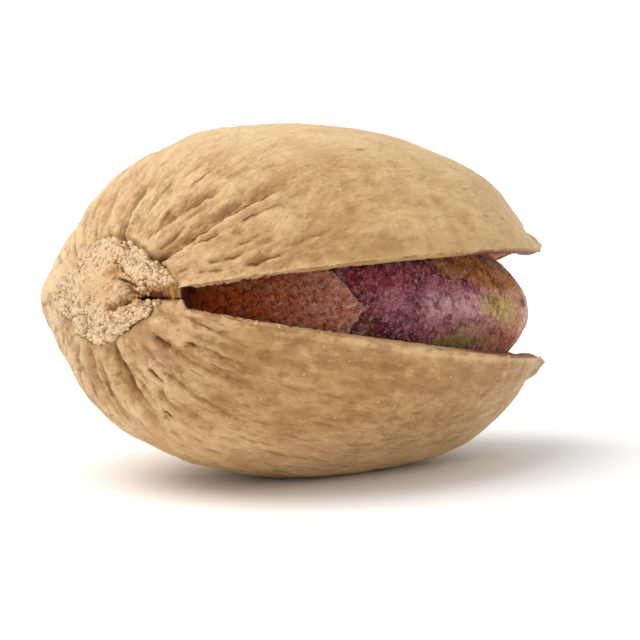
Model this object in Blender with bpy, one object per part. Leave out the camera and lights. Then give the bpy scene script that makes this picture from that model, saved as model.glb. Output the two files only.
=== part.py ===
"""A pistachio in its split shell, lying on its lower valve.

Blender 4.5, metres, +Z up. The origin is on the surface the nut lies on, below the middle of its box. The stem end
points to -X and the tip to +X, and the slit that shows the kernel faces -Y.

The shell's forms follow from one closed nut, worked out in millimetres in the nut's own axes: X from stem end to
tip, the near seam at -Y, the far seam at +Y, the upper valve at +Z. Two angles give a place on it. `along` is 0 at
the stem end and 180 degrees at the tip. `around` is 0 on the near seam, +90 on top of the upper valve, -90 under the
lower one and 180 on the far seam. The valves are then bent open from a hinge line, and the whole nut is laid down.
"""

import math

import bmesh
import bpy
import numpy as np
from mathutils import Matrix, noise

MM = 0.001

# Closed shell, in millimetres. Fullness is the power of an outline: 2 is an ellipse, and more is blunter
STEM_HALF = 8.00
TIP_HALF = 10.10
NEAR_HALF_WIDTH = 5.94
FAR_HALF_WIDTH = 6.33
UPPER_DEPTH = 5.48
LOWER_DEPTH = 5.39
STEM_FULLNESS = 2.47
STEM_FULLNESS_UPPER = 2.25
TIP_FULLNESS_ACROSS = 1.69
TIP_FULLNESS_UPPER = 1.70
TIP_FULLNESS_LOWER = 1.90
BOW = 0.59  # how far the nut's middle line curves towards the near seam at its ends
SEAM_KEEL = 0.39  # the low ridge that carries each seam
KEEL_SPREAD = 0.3
BEAK = 1.00  # the small point of each valve, past the tip's round form
BEAK_FLARE = 0.29
BEAK_SPREAD = 0.19

# Wall, thinner towards the tip
WALL = 0.72
STEM_WALL = 1.10
TIP_WALL = 0.62
TIP_THINNING = 0.35
TIP_THIN_FROM, TIP_THIN_TO = 85.0, 140.0
LIP_ROUND = 0.10
LIP_TEAR = 0.035
LIP_TEAR_STEP = 3.1

# Opening: each valve bends about a hinge line across the stem end, then stays straight
HINGE_AT = (-8.93, -1.16)
HINGE_TURN = math.radians(54.5)
BEND_LENGTH = 3.0
UPPER_OPENING = math.radians(10.0)
LOWER_OPENING = math.radians(9.3)
FAR_SLIT_START = 104.0  # degrees along, where the far seam begins to gape

# How the nut lies, and how much of its belly the small flat spot takes away
ROLL = math.radians(-6.0)
PITCH = math.radians(5.9)
FLAT_DEPTH = 0.16

# Stem scar: its crumbly edge as (around, along) in degrees, then the heights of its forms in millimetres
SCAR_EDGE = (
    (0, 25.5), (12, 25.0), (27, 22.5), (45, 20.3), (68, 18.9), (90, 18.0), (106, 16.8), (120, 14.8), (133, 13.6),
    (150, 15.0), (165, 19.4), (180, 19.6), (197, 17.6), (208, 13.6), (235, 13.6), (262, 12.7), (285, 12.0),
    (310, 12.4), (333, 14.8), (348, 17.2), (356, 19.5),
)
SCAR_RAISE = 0.18
SCAR_GROOVE = 0.16
SCAR_CRUMB = 0.07
CRUMB_SIZE = 0.42
BULGE_AT = (-0.85, 0.50)
BULGE_SIZE = (0.85, 0.70)
BULGE_RAISE = 0.20
# Cracks in the scar: a depth, a half width, then (Y, Z) points
SCAR_CRACKS = (
    (0.34, 0.16, ((-4.0, 0.25), (-3.4, 0.25), (-2.85, 0.16), (-2.3, 0.22))),
    (0.24, 0.13, ((-2.3, 0.22), (-2.0, 0.50), (-1.55, 0.75), (-1.40, 1.00))),
    (0.20, 0.14, ((-2.3, 0.10), (-1.75, -0.14), (-1.15, -0.36))),
)
WAIST_DEPTH = 0.16  # the shallow hollow behind the scar, on the side away from the slit
WAIST_AT, WAIST_SPREAD = 27.0, 7.0
SWELL_HEIGHT = 0.05  # slow unevenness of the whole shell
SWELL_SIZE = 1.9

# Creases that gather towards the scar: around at the start and end, along at both, depth, half width
CREASES = (
    (68, 75, 18, 50, 0.30, 0.22),
    (86, 80, 18, 44, 0.15, 0.32),
    (107, 113, 17, 50, 0.13, 0.22),
    (52, 57, 24, 58, 0.10, 0.18),
    (44, 46, 25, 68, 0.20, 0.18),
    (35, 39, 26, 60, 0.12, 0.16),
    (25, 31, 22, 86, 0.23, 0.20),
    (18, 23, 27, 78, 0.14, 0.16),
    (11, 16, 26, 72, 0.12, 0.15),
    (6, 9, 30, 66, 0.08, 0.13),
    (-12, -16, 21, 74, 0.14, 0.20),
    (-24.5, -27, 20, 42, 0.18, 0.17),
    (-33, -35, 22, 62, 0.10, 0.15),
    (-42, -43, 20, 78, 0.12, 0.16),
    (-51, -50, 18, 58, 0.14, 0.24),
    (-66, -61, 14, 70, 0.26, 0.24),
    (-77, -71, 15, 56, 0.14, 0.20),
    (-92, -84, 14, 64, 0.16, 0.22),
    (-111, -93, 15, 70, 0.26, 0.26),
    (-126, -112, 16, 58, 0.16, 0.22),
)
HIDDEN_CREASES = 9
HIDDEN_FROM, HIDDEN_TO = 128.0, 228.0

# Kernel, in millimetres, in the nut's own axes
KERNEL_AT = (1.15, 0.0, -0.25)
KERNEL_STEM_HALF = 7.35
KERNEL_TIP_HALF = 8.52
KERNEL_NEAR = 4.34
KERNEL_FAR = 4.45
KERNEL_UP = 3.62
KERNEL_DOWN = 3.80
KERNEL_FULLNESS = 1.86
KERNEL_FULLNESS_DOWN = 1.66
KERNEL_BOW = 0.6
WRINKLE_HEIGHT = 0.05
WRINKLE_SIZE = 1.3

# Torn skin round the kernel's stem half, with its torn edge as (around, along) in degrees
SKIN_GAP = 0.14
SKIN_THICK = 0.20
SKIN_EDGE = (
    (0, 80.0), (4, 78.0), (9, 75.5), (14, 73.5), (21, 70.0), (38, 74.0), (60, 70.0), (84, 75.0), (110, 71.0),
    (140, 76.0), (170, 72.0), (200, 77.0), (226, 71.0), (255, 75.0), (282, 70.0), (305, 76.0), (330, 72.5),
    (346, 76.0), (352, 75.5),
)

# Mesh
SCAR_ROWS = 7
ROWS = 45
MID_ROW_SPREAD = 0.62
OUTER_COLUMNS = 44
INNER_COLUMNS = 12
KERNEL_ROWS = 28
KERNEL_COLUMNS = 40
SKIN_ROWS = 12
SKIN_COLUMNS = 36
NEAR, FAR = 0, -1  # the columns of a valve's grid that lie on its two seams
NUDGE = 1e-3
SHARP_ANGLE = math.radians(50)
SEED = 7


def clear_scene():
    for item in list(bpy.data.objects):
        bpy.data.objects.remove(item)


def smooth(low, high, value):
    """0 below low, 1 above high, and an even rise between."""
    share = np.clip((value - low) / (high - low), 0.0, 1.0)
    return share * share * (3.0 - 2.0 * share)


def bell(distance, width):
    return np.exp(-((distance / width) ** 2))


def read_around(pairs, degrees):
    """A value given in a few directions around the nut, read in any other."""
    pairs = np.array(pairs, float)
    return np.interp(np.mod(degrees, 360.0), pairs[:, 0], pairs[:, 1], period=360.0)


def turn_between(a, b):
    """The smaller turn from b to a, in degrees."""
    return np.mod(a - b + 180.0, 360.0) - 180.0


def noise_at(places, size, seed):
    """Smooth noise of about -1 to 1 at each place, with lumps of the given size."""
    flat = np.asarray(places, float).reshape(-1, 3) / size + seed * 17.3
    return np.array([noise.noise(place) for place in flat]).reshape(np.shape(places)[:-1])


def outline(sine, fullness):
    return np.clip(sine, 0.0, 1.0) ** (2.0 / fullness)


def closed_shell(along, around, inner=False):
    """Points of the closed nut's outer or inner face, for the two angles."""
    cosine, sine = np.cos(along), np.clip(np.sin(along), 0.0, 1.0)
    stem = along < math.pi / 2
    upper = around >= 0.0
    hollow = 1.0 if inner else 0.0
    wall = hollow * WALL * (1.0 - TIP_THINNING * smooth(TIP_THIN_FROM, TIP_THIN_TO, np.degrees(along)))
    half_length = np.where(stem, STEM_HALF - hollow * STEM_WALL, TIP_HALF - hollow * TIP_WALL)
    fullness = np.where(stem, STEM_FULLNESS, TIP_FULLNESS_ACROSS)
    x = -np.sign(cosine) * np.abs(cosine) ** (2.0 / fullness) * half_length
    beak = bell(math.pi - along, BEAK_SPREAD)
    middle = -BOW * (x / (0.5 * (STEM_HALF + TIP_HALF))) ** 2
    half_width = np.where(np.cos(around) > 0.0, NEAR_HALF_WIDTH, FAR_HALF_WIDTH) - wall
    keel = (1.0 - hollow) * SEAM_KEEL * bell(np.sin(around), KEEL_SPREAD) * np.sqrt(sine)
    y = middle - (outline(sine, fullness) * half_width + keel) * np.cos(around)
    depth = np.where(upper, UPPER_DEPTH, LOWER_DEPTH) - wall
    stem_fullness = np.where(upper, STEM_FULLNESS_UPPER, STEM_FULLNESS)
    tip_fullness = np.where(upper, TIP_FULLNESS_UPPER, TIP_FULLNESS_LOWER)
    height = outline(sine, np.where(stem, stem_fullness, tip_fullness)) * depth * np.sin(np.abs(around))
    z = np.where(upper, 1.0, -1.0) * (height + BEAK_FLARE * beak)
    return np.stack([x + (1.0 - hollow) * BEAK * beak, y, z], axis=-1)


def outward(along, around):
    """The closed nut's outward direction, from its slope both ways."""
    along = np.clip(along, 0.02, math.pi - 0.02)
    side = np.where(around >= 0.0, 1.0, -1.0)
    inside = np.clip(np.abs(around), NUDGE * 2, math.pi - NUDGE * 2)
    down = closed_shell(along + NUDGE, side * inside) - closed_shell(along - NUDGE, side * inside)
    across = closed_shell(along, side * (inside + NUDGE)) - closed_shell(along, side * (inside - NUDGE))
    normal = np.cross(down, across) * side[..., None]
    return normal / np.linalg.norm(normal, axis=-1, keepdims=True)


def away_from_line(y, z, line):
    """How far each place is from a line through (Y, Z) points."""
    nearest = np.full(np.shape(y), np.inf)
    for (y0, z0), (y1, z1) in zip(line, line[1:]):
        run = (y1 - y0) ** 2 + (z1 - z0) ** 2
        share = np.clip(((y - y0) * (y1 - y0) + (z - z0) * (z1 - z0)) / run, 0.0, 1.0)
        nearest = np.minimum(nearest, np.hypot(y - y0 - share * (y1 - y0), z - z0 - share * (z1 - z0)))
    return nearest


def scar_relief(along, around, place):
    """The raised, crumbly stem scar with its groove, its smooth middle and its cracks."""
    past_edge = along - read_around(SCAR_EDGE, around)
    inside = 1.0 - smooth(-0.6, 1.0, past_edge)
    y, z = place[..., 1], place[..., 2]
    bulge = bell((y - BULGE_AT[0]) / BULGE_SIZE[0], 1.0) * bell((z - BULGE_AT[1]) / BULGE_SIZE[1], 1.0)
    crumb = SCAR_CRUMB * noise_at(place, CRUMB_SIZE, SEED) * (1.0 - bulge)
    height = inside * (SCAR_RAISE + crumb + BULGE_RAISE * bulge)
    height = height - SCAR_GROOVE * bell(past_edge - 1.6, 1.1)
    at_stem = 1.0 - smooth(28.0, 34.0, along)
    for depth, width, line in SCAR_CRACKS:
        height = height - at_stem * depth * bell(away_from_line(y, z, line), width)
    return height


def hidden_creases():
    """Creases on the side away from the slit, placed by a seeded draw."""
    draw = np.random.default_rng(SEED)
    spread = np.linspace(HIDDEN_FROM, HIDDEN_TO, HIDDEN_CREASES)
    for start in spread + draw.uniform(-4.0, 4.0, HIDDEN_CREASES):
        lean = (180.0 - start) * 0.12
        yield start, start + lean, 19.0, draw.uniform(46, 72), draw.uniform(0.11, 0.22), draw.uniform(0.17, 0.25)


def crease_relief(along, around):
    """Creases that run from the scar and fade out over the swell of the shell."""
    radius = 0.5 * (NEAR_HALF_WIDTH + UPPER_DEPTH) * outline(np.sin(np.radians(along)), STEM_FULLNESS)
    height = np.zeros(np.shape(along))
    for first, last, start, end, depth, width in (*CREASES, *hidden_creases()):
        share = np.clip((along - start) / (end - start), 0.0, 1.0)
        away = np.radians(turn_between(around, first + (last - first) * share)) * radius
        fade = smooth(start - 3.0, start + 2.0, along) * (1.0 - smooth(0.35, 1.0, share))
        height = height - depth * fade * bell(away, width)
    return height


def shell_relief(along, around, place):
    """How far the outer face stands above or below the smooth form, in millimetres; both angles in degrees."""
    height = scar_relief(along, around, place) + crease_relief(along, around)
    hidden = smooth(75.0, 115.0, np.abs(around))
    height = height - WAIST_DEPTH * hidden * bell(along - WAIST_AT, WAIST_SPREAD)
    swells = SWELL_HEIGHT * noise_at(place * (0.35, 1.0, 1.0), SWELL_SIZE, SEED + 1)
    return height + swells * smooth(14.0, 30.0, along) * (1.0 - smooth(160.0, 178.0, along))


def shell_rows(around):
    """Angles along the nut for each direction: the first rows fill the scar, and one lies on its edge."""
    edge = np.radians(read_around(SCAR_EDGE, np.degrees(around)))
    in_scar = edge * (np.arange(SCAR_ROWS) / SCAR_ROWS)[:, None] ** 0.9
    share = np.linspace(0.0, 1.0, ROWS - SCAR_ROWS + 1)[:, None]
    spread = share - MID_ROW_SPREAD * np.sin(2.0 * math.pi * share) / (2.0 * math.pi)
    return np.concatenate([in_scar, edge + (math.pi - edge) * spread])


def bend_open(place, upper):
    """Bends a valve away from the seam plane about the hinge line."""
    side, opening = (1.0, UPPER_OPENING) if upper else (-1.0, LOWER_OPENING)
    from_hinge = np.array([math.cos(HINGE_TURN), -math.sin(HINGE_TURN)])
    on_hinge = np.array([math.sin(HINGE_TURN), math.cos(HINGE_TURN)])
    flat = place[..., :2] - HINGE_AT
    distance, slide = flat @ from_hinge, flat @ on_hinge
    height = place[..., 2] * side
    radius = BEND_LENGTH / opening
    turn = np.clip(distance / BEND_LENGTH, 0.0, 1.0) * opening
    straight = np.maximum(distance - BEND_LENGTH, 0.0)
    bent = distance > 0.0
    reach = np.where(bent, (radius - height) * np.sin(turn) + straight * math.cos(opening), distance)
    lifted = radius - (radius - height) * np.cos(turn) + straight * math.sin(opening)
    flat = reach[..., None] * from_hinge + slide[..., None] * on_hinge + HINGE_AT
    return np.concatenate([flat, (np.where(bent, lifted, height) * side)[..., None]], axis=-1)


def lay_down(place):
    """Turns points from the nut's own axes to the way it lies."""
    turn = Matrix.Rotation(PITCH, 3, "Y") @ Matrix.Rotation(ROLL, 3, "X")
    return place @ np.array(turn).T


def valve_face(columns, upper, inner):
    """The rows' angles and the points of one face of a valve, from its near seam to its far seam."""
    around = np.linspace(0.0, math.pi, columns + 1)
    if not upper:
        around = -np.maximum(around, 1e-9)
    along = shell_rows(around)
    around = np.broadcast_to(around, along.shape)
    place = closed_shell(along, around, inner)
    if not inner:
        height = shell_relief(np.degrees(along), np.degrees(around), place)
        place = place + outward(along, around) * height[..., None]
    return along, place


def lip_tear(along, seam):
    """The fine torn waves of a lip, in millimetres."""
    steps = np.zeros((len(along), 3))
    steps[:, 0] = np.degrees(along) / LIP_TEAR_STEP
    steps[:, 1] = 5.0 * seam
    return LIP_TEAR * np.abs(noise_at(steps, 1.0, SEED + 3))


def valve_points(upper, roots):
    """A valve's outer face, its inner face and the middle line of each lip, bent open."""
    side = 1.0 if upper else -1.0
    rows, outer = valve_face(OUTER_COLUMNS, upper, inner=False)
    _, inner = valve_face(INNER_COLUMNS, upper, inner=True)
    lips = {}
    for seam, root in roots.items():
        tear = lip_tear(rows[:, seam], seam)
        lips[seam] = 0.5 * (outer[:, seam] + inner[:, seam])
        lips[seam][:, 2] += side * tear
        for face in (outer, inner):
            face[root + 1 :, seam, 2] += side * (LIP_ROUND + tear[root + 1 :])
    outer[-1] = outer[-1, NEAR]
    inner[-1] = inner[-1, NEAR]
    points = {"outer": outer, "inner": inner, **lips}
    return {name: bend_open(place, upper) for name, place in points.items()}


class NumberedMesh:
    """Points with numbers and faces between them, so that grids can share points along an edge."""

    def __init__(self):
        self.places = np.empty((0, 3))
        self.faces = []

    def add(self, places):
        first = len(self.places)
        self.places = np.concatenate([self.places, places.reshape(-1, 3)])
        return np.arange(first, len(self.places)).reshape(places.shape[:-1])

    def share(self, kept, other, where):
        """Gives both grids one set of points there, half way between the two."""
        self.places[kept[where]] = 0.5 * (self.places[kept[where]] + self.places[other[where]])
        other[where] = kept[where]

    def grid(self, numbers, turned):
        """Four-sided faces over a grid of points; where two corners are one point, a triangle."""
        corners = np.stack([numbers[:-1, :-1], numbers[1:, :-1], numbers[1:, 1:], numbers[:-1, 1:]], axis=-1)
        for face in corners.reshape(-1, 4):
            kept = [int(number) for corner, number in enumerate(face) if number != face[corner - 1]]
            if len(kept) > 2:
                self.faces.append(kept[::-1] if turned else kept)

    def without_unused(self):
        """The points that faces use, and the faces with numbers to match."""
        used = sorted({number for face in self.faces for number in face})
        renumbered = {old: new for new, old in enumerate(used)}
        return self.places[used], [[renumbered[number] for number in face] for face in self.faces]


def make_shell():
    """Outer face, inner face and lips of both valves as one closed surface, joined up to each slit's root."""
    far_rows = np.degrees(shell_rows(np.array([math.pi]))[:, 0])
    roots = {NEAR: SCAR_ROWS, FAR: int(np.argmax(far_rows >= FAR_SLIT_START))}
    shell = NumberedMesh()
    upper, lower = (
        {name: shell.add(place) for name, place in valve_points(is_upper, roots).items()}
        for is_upper in (True, False)
    )
    for name in ("outer", "inner"):
        for valve in (upper, lower):
            valve[name][0, :] = valve[name][0, 0]
            valve[name][-1, :] = valve[name][-1, 0]
        shell.share(upper[name], lower[name], (slice(0, 1), slice(None)))
        for seam, root in roots.items():
            shell.share(upper[name], lower[name], (slice(1, root + 1), seam))
    for seam, root in roots.items():
        shell.share(upper[seam], lower[seam], slice(root, root + 1))
    for valve, is_upper in ((upper, True), (lower, False)):
        valve[FAR][-1] = valve[NEAR][-1]
        shell.grid(valve["outer"], turned=not is_upper)
        shell.grid(valve["inner"], turned=is_upper)
        for seam, root in roots.items():
            lip = np.stack([valve["outer"][root:, seam], valve[seam][root:], valve["inner"][root:, seam]], axis=1)
            shell.grid(lip, turned=is_upper == (seam == NEAR))
    return shell.without_unused()


def kernel_points(along, around, lift=0.0):
    """Points of the kernel; a lift above 0 gives a face that far outside it."""
    cosine, sine = np.cos(along), np.clip(np.sin(along), 0.0, 1.0)
    stem = along < math.pi / 2
    fullness = np.where(stem, 2.0, KERNEL_FULLNESS)
    half_length = np.where(stem, KERNEL_STEM_HALF, KERNEL_TIP_HALF) + lift
    x = KERNEL_AT[0] - np.sign(cosine) * np.abs(cosine) ** (2.0 / fullness) * half_length
    wrinkle_at = np.stack([x * 0.25, 4.0 * np.cos(around), 4.0 * np.sin(around)], axis=-1)
    wrinkle = WRINKLE_HEIGHT * noise_at(wrinkle_at, WRINKLE_SIZE, SEED + 5) * sine
    half_width = np.where(np.cos(around) > 0.0, KERNEL_NEAR, KERNEL_FAR) + lift
    depth = np.where(np.sin(around) > 0.0, KERNEL_UP, KERNEL_DOWN) + lift
    fullness_z = np.where(stem | (np.sin(around) > 0.0), fullness, KERNEL_FULLNESS_DOWN)
    middle = KERNEL_AT[1] - KERNEL_BOW * (x / KERNEL_TIP_HALF) ** 2
    y = middle - (outline(sine, fullness) * half_width + wrinkle) * np.cos(around)
    z = KERNEL_AT[2] + (outline(sine, fullness_z) * depth + wrinkle) * np.sin(around)
    return np.stack([x, y, z], axis=-1)


def ball_with_angles(columns, rows):
    """A ball with its poles on X, and each point's angle along and around it."""
    ball = bmesh.new()
    poles_on_x = Matrix.Rotation(math.radians(-90), 4, "Y")
    bmesh.ops.create_uvsphere(ball, u_segments=columns, v_segments=rows, radius=1.0, matrix=poles_on_x)
    ball.verts.ensure_lookup_table()
    place = np.array([point.co for point in ball.verts])
    along = np.arccos(np.clip(-place[:, 0], -1.0, 1.0))
    return ball, along, np.arctan2(place[:, 2], -place[:, 1])


def move_points(ball, places):
    for point, place in zip(ball.verts, places):
        point.co = place * MM


def add_object(name, mesh, material):
    mesh.shade_smooth()
    mesh.set_sharp_from_angle(angle=SHARP_ANGLE)
    mesh.materials.append(material)
    item = bpy.data.objects.new(name, mesh)
    bpy.context.scene.collection.objects.link(item)
    return item


def mesh_of_ball(name, ball):
    mesh = bpy.data.meshes.new(name)
    ball.to_mesh(mesh)
    ball.free()
    return mesh


def add_shell(places, faces, material):
    mesh = bpy.data.meshes.new("shell")
    mesh.from_pydata((places * MM).tolist(), [], faces)
    add_object("shell", mesh, material)


def add_kernel(origin, material):
    ball, along, around = ball_with_angles(KERNEL_COLUMNS, KERNEL_ROWS)
    move_points(ball, lay_down(kernel_points(along, around)) - origin)
    add_object("kernel", mesh_of_ball("kernel", ball), material)


def add_torn_skin(origin, material):
    """A cup of skin over the kernel's stem half: an open ball, stretched to the torn edge and given its thickness."""
    ball, along, around = ball_with_angles(SKIN_COLUMNS, SKIN_ROWS)
    last_row = math.pi * (1.0 - 1.0 / SKIN_ROWS)
    edge = np.radians(read_around(SKIN_EDGE, np.degrees(around)))
    places = kernel_points(edge * along / last_row, around, SKIN_GAP)
    move_points(ball, lay_down(places) - origin)
    tip = ball.verts[int(np.argmax(along))]
    bmesh.ops.delete(ball, geom=[tip], context="VERTS")
    item = add_object("torn_skin", mesh_of_ball("torn_skin", ball), material)
    thickness = item.modifiers.new("thickness", "SOLIDIFY")
    thickness.thickness = SKIN_THICK * MM
    thickness.offset = 1.0


def make_material(name, colour, roughness):
    material = bpy.data.materials.new(name)
    material.use_nodes = True
    shader = material.node_tree.nodes["Principled BSDF"]
    shader.inputs["Base Color"].default_value = (*colour, 1.0)
    shader.inputs["Roughness"].default_value = roughness
    shader.inputs["Metallic"].default_value = 0.0
    return material


def main():
    clear_scene()
    places, faces = make_shell()
    places = lay_down(places)
    floor = places[:, 2].min() + FLAT_DEPTH
    places[:, 2] = np.maximum(places[:, 2], floor)
    low, high = places.min(axis=0), places.max(axis=0)
    origin = np.array([(low[0] + high[0]) / 2, (low[1] + high[1]) / 2, floor])
    add_shell(places - origin, faces, make_material("shell", (0.60, 0.40, 0.22), 0.55))
    add_kernel(origin, make_material("kernel", (0.25, 0.09, 0.08), 0.6))
    add_torn_skin(origin, make_material("torn_skin", (0.16, 0.045, 0.02), 0.75))


main()
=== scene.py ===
# %% [markdown]
# # A pistachio in its split shell
# The part's solids come first, as a fixed frame: they say where each piece is and how large it may be.
# Everything after that is looks: a fine shell with its scar and furrows, a kernel with its thin skin, their
# finishes and the light. The box of the solids is kept here, before anything is added.

# %% The fixed frame
import math

import bpy
import numpy as np
from mathutils import Matrix, Vector, noise


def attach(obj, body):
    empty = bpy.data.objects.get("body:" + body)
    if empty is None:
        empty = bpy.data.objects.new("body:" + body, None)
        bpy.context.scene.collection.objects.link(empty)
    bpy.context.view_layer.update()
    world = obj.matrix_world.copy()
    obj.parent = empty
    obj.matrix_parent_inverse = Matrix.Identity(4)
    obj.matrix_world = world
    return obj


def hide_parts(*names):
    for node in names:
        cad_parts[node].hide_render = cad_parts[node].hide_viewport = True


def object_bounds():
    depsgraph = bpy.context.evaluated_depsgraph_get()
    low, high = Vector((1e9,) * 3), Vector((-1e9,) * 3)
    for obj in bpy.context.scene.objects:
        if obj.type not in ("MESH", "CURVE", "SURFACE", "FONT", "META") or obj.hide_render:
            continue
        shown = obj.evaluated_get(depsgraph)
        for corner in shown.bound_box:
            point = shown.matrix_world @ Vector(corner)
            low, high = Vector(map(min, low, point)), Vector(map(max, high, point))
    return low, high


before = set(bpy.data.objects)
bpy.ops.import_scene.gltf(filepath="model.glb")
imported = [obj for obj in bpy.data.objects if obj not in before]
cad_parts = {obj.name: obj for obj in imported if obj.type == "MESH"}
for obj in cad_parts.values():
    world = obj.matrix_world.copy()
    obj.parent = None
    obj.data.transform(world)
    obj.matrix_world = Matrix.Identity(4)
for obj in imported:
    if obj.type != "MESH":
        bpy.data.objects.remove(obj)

CAD_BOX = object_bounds()
MM = 0.001
print("Nodes:", sorted(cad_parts), "size in mm:", [round((b - a) / MM, 1) for a, b in zip(*CAD_BOX)])

# %% [markdown]
# ## The camera
# A nut this small is photographed from close by with a long lens, so its outline is almost free of
# perspective. The camera stands 200 mm away, 8 degrees above the table, and looks past the stem end into
# the slit. It is aimed a little beside the nut's centre, because the nut sits left of the picture's middle
# and above it. A shorter lens from closer by would frame it too, but would swell the near stem end.

# %% Camera
NUT_CENTRE = Vector((-1.43585, -0.16298, 5.78922))  # the middle of the closed nut, in mm, in the part's frame
VIEW_TURN = math.radians(-38.735)
VIEW_RISE = math.radians(8)
VIEW_DISTANCE = 200
PIXELS_PER_MM, PICTURE_WIDTH = 30.012, 640
AIM_RIGHT, AIM_DOWN = 1.274, 0.606  # mm from the nut's centre to the picture's middle
BACK = Vector((
    math.sin(VIEW_TURN) * math.cos(VIEW_RISE),
    -math.cos(VIEW_TURN) * math.cos(VIEW_RISE),
    math.sin(VIEW_RISE),
))
RIGHT = Vector((math.cos(VIEW_TURN), math.sin(VIEW_TURN), 0))
UP = BACK.cross(RIGHT)
camera_data = bpy.data.cameras.new("camera")
camera_data.lens = camera_data.sensor_width * PIXELS_PER_MM * VIEW_DISTANCE / PICTURE_WIDTH
camera = bpy.data.objects.new("camera", camera_data)
bpy.context.scene.collection.objects.link(camera)
camera.location = (NUT_CENTRE + BACK * VIEW_DISTANCE) * MM
aim = (NUT_CENTRE + RIGHT * AIM_RIGHT - UP * AIM_DOWN) * MM
camera.rotation_euler = (aim - camera.location).to_track_quat("-Z", "Y").to_euler()
bpy.context.scene.camera = camera
print("Lens:", round(camera_data.lens, 1), "mm")

# %% [markdown]
# ## Arithmetic on nodes
# Materials and Geometry Nodes are both trees of nodes, and long sums in them are tedious to wire by hand.
# `Signal` wraps one output, so that `1 - mask * 0.5` adds the Math nodes itself. Its methods add what comes
# up most: a smooth rise, a noise, a layer of paint. `Board` adds any other node in one call, and `Finish`
# is the board of a new material. Colours are given from 0 to 255, and `paint` turns them into linear light.

# %% Signal and Board
VECTORS = ("nut", "grain", "spot")  # what a mesh keeps as vectors; all else that it keeps are numbers
SIGNS = {"add": "ADD", "sub": "SUBTRACT", "mul": "MULTIPLY", "truediv": "DIVIDE", "pow": "POWER"}


def paint(red, green, blue):
    """A colour on the usual 0 to 255 scale, as the linear light that a shader works in."""
    parts = [level / 255 for level in (red, green, blue)]
    return (*(part / 12.92 if part <= 0.04045 else ((part + 0.055) / 1.055) ** 2.4 for part in parts), 1)


class Signal:
    """One output of a node. Python's arithmetic on it, and its methods, add the nodes that follow."""

    def __init__(self, board, socket):
        self.board, self.socket = board, socket

    def math(self, operation, *others):
        return self.board.math(operation, self, *others)

    def __neg__(self):
        return self * -1

    def __abs__(self):
        return self.math("ABSOLUTE")

    def __gt__(self, other):
        return self.math("GREATER_THAN", other)

    def rise(self, low, high):
        """0 at low, 1 at high, and an even rise between; low may be the larger number."""
        ends = {"Value": self, "From Min": low, "From Max": high}
        return self.board.add("ShaderNodeMapRange", {"interpolation_type": "SMOOTHSTEP"}, ends)

    def choose(self, first, second):
        """The first value where this is 0, and the second where it is 1."""
        return self * (second - first) + first

    def noise(self, scale, detail=2, roughness=0.5, out=0):
        sockets = {"Vector": self, "Scale": scale, "Detail": detail, "Roughness": roughness}
        return self.board.add("ShaderNodeTexNoise", {}, sockets, out)

    def cells(self, scale, feature="F1", out=0):
        sockets = {"Vector": self, "Scale": scale}
        return self.board.add("ShaderNodeTexVoronoi", {"feature": feature}, sockets, out)

    def stretch(self, x, y=1, z=1):
        return self.board.vector("MULTIPLY", self, (x, y, z))

    def scale(self, factor):
        scaled = self.board.vector("SCALE", self)
        self.board.feed(scaled.socket.node, "Scale", factor)
        return scaled

    def parts(self):
        """The three numbers of a vector."""
        node = self.board.add("ShaderNodeSeparateXYZ", {}, {0: self}).socket.node
        return [Signal(self.board, socket) for socket in node.outputs]

    def paint(self, share, *levels):
        """This colour with another laid over it, as far as the share says."""
        return self.board.mix(share, self, paint(*levels))

    def tint(self, share, *factors):
        """This colour multiplied by three factors, as far as the share says."""
        return self.board.mix(share, self, (*factors, 1), "MULTIPLY")


for sign, operation in SIGNS.items():
    setattr(Signal, f"__{sign}__", lambda self, other, name=operation: self.board.math(name, self, other))
    setattr(Signal, f"__r{sign}__", lambda self, other, name=operation: self.board.math(name, other, self))


class Board:
    """A node tree that is written as code."""

    def __init__(self, tree):
        self.tree = tree

    def add(self, kind, settings=None, sockets=None, out=0):
        """Adds a node, makes its settings, then gives its sockets their values or links."""
        node = self.tree.nodes.new(kind)
        for name, value in (settings or {}).items():
            setattr(node, name, value)
        for key, value in (sockets or {}).items():
            self.feed(node, key, value)
        outputs = [socket for socket in node.outputs if socket.enabled]
        return Signal(self, outputs[out] if isinstance(out, int) else node.outputs[out])

    def feed(self, node, key, value):
        named = (socket for socket in node.inputs if socket.name == key and socket.enabled)
        socket = node.inputs[key] if isinstance(key, int) else next(named)
        if isinstance(value, Signal):
            self.tree.links.new(value.socket, socket)
        else:
            socket.default_value = value

    def math(self, operation, *values):
        return self.add("ShaderNodeMath", {"operation": operation}, dict(enumerate(values)))

    def vector(self, operation, *values):
        return self.add("ShaderNodeVectorMath", {"operation": operation}, dict(enumerate(values)))

    def join(self, x, y, z):
        return self.add("ShaderNodeCombineXYZ", {}, {0: x, 1: y, 2: z})

    def mix(self, share, first, second, blend="MIX"):
        settings = {"data_type": "RGBA", "blend_type": blend, "clamp_factor": True}
        return self.add("ShaderNodeMix", settings, {"Factor": share, "A": first, "B": second})

    def read(self, names):
        """What the mesh keeps under one name, or a list for several names with spaces between them."""
        found = [self.read_one(name) for name in names.split()]
        return found if len(found) > 1 else found[0]


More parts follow.
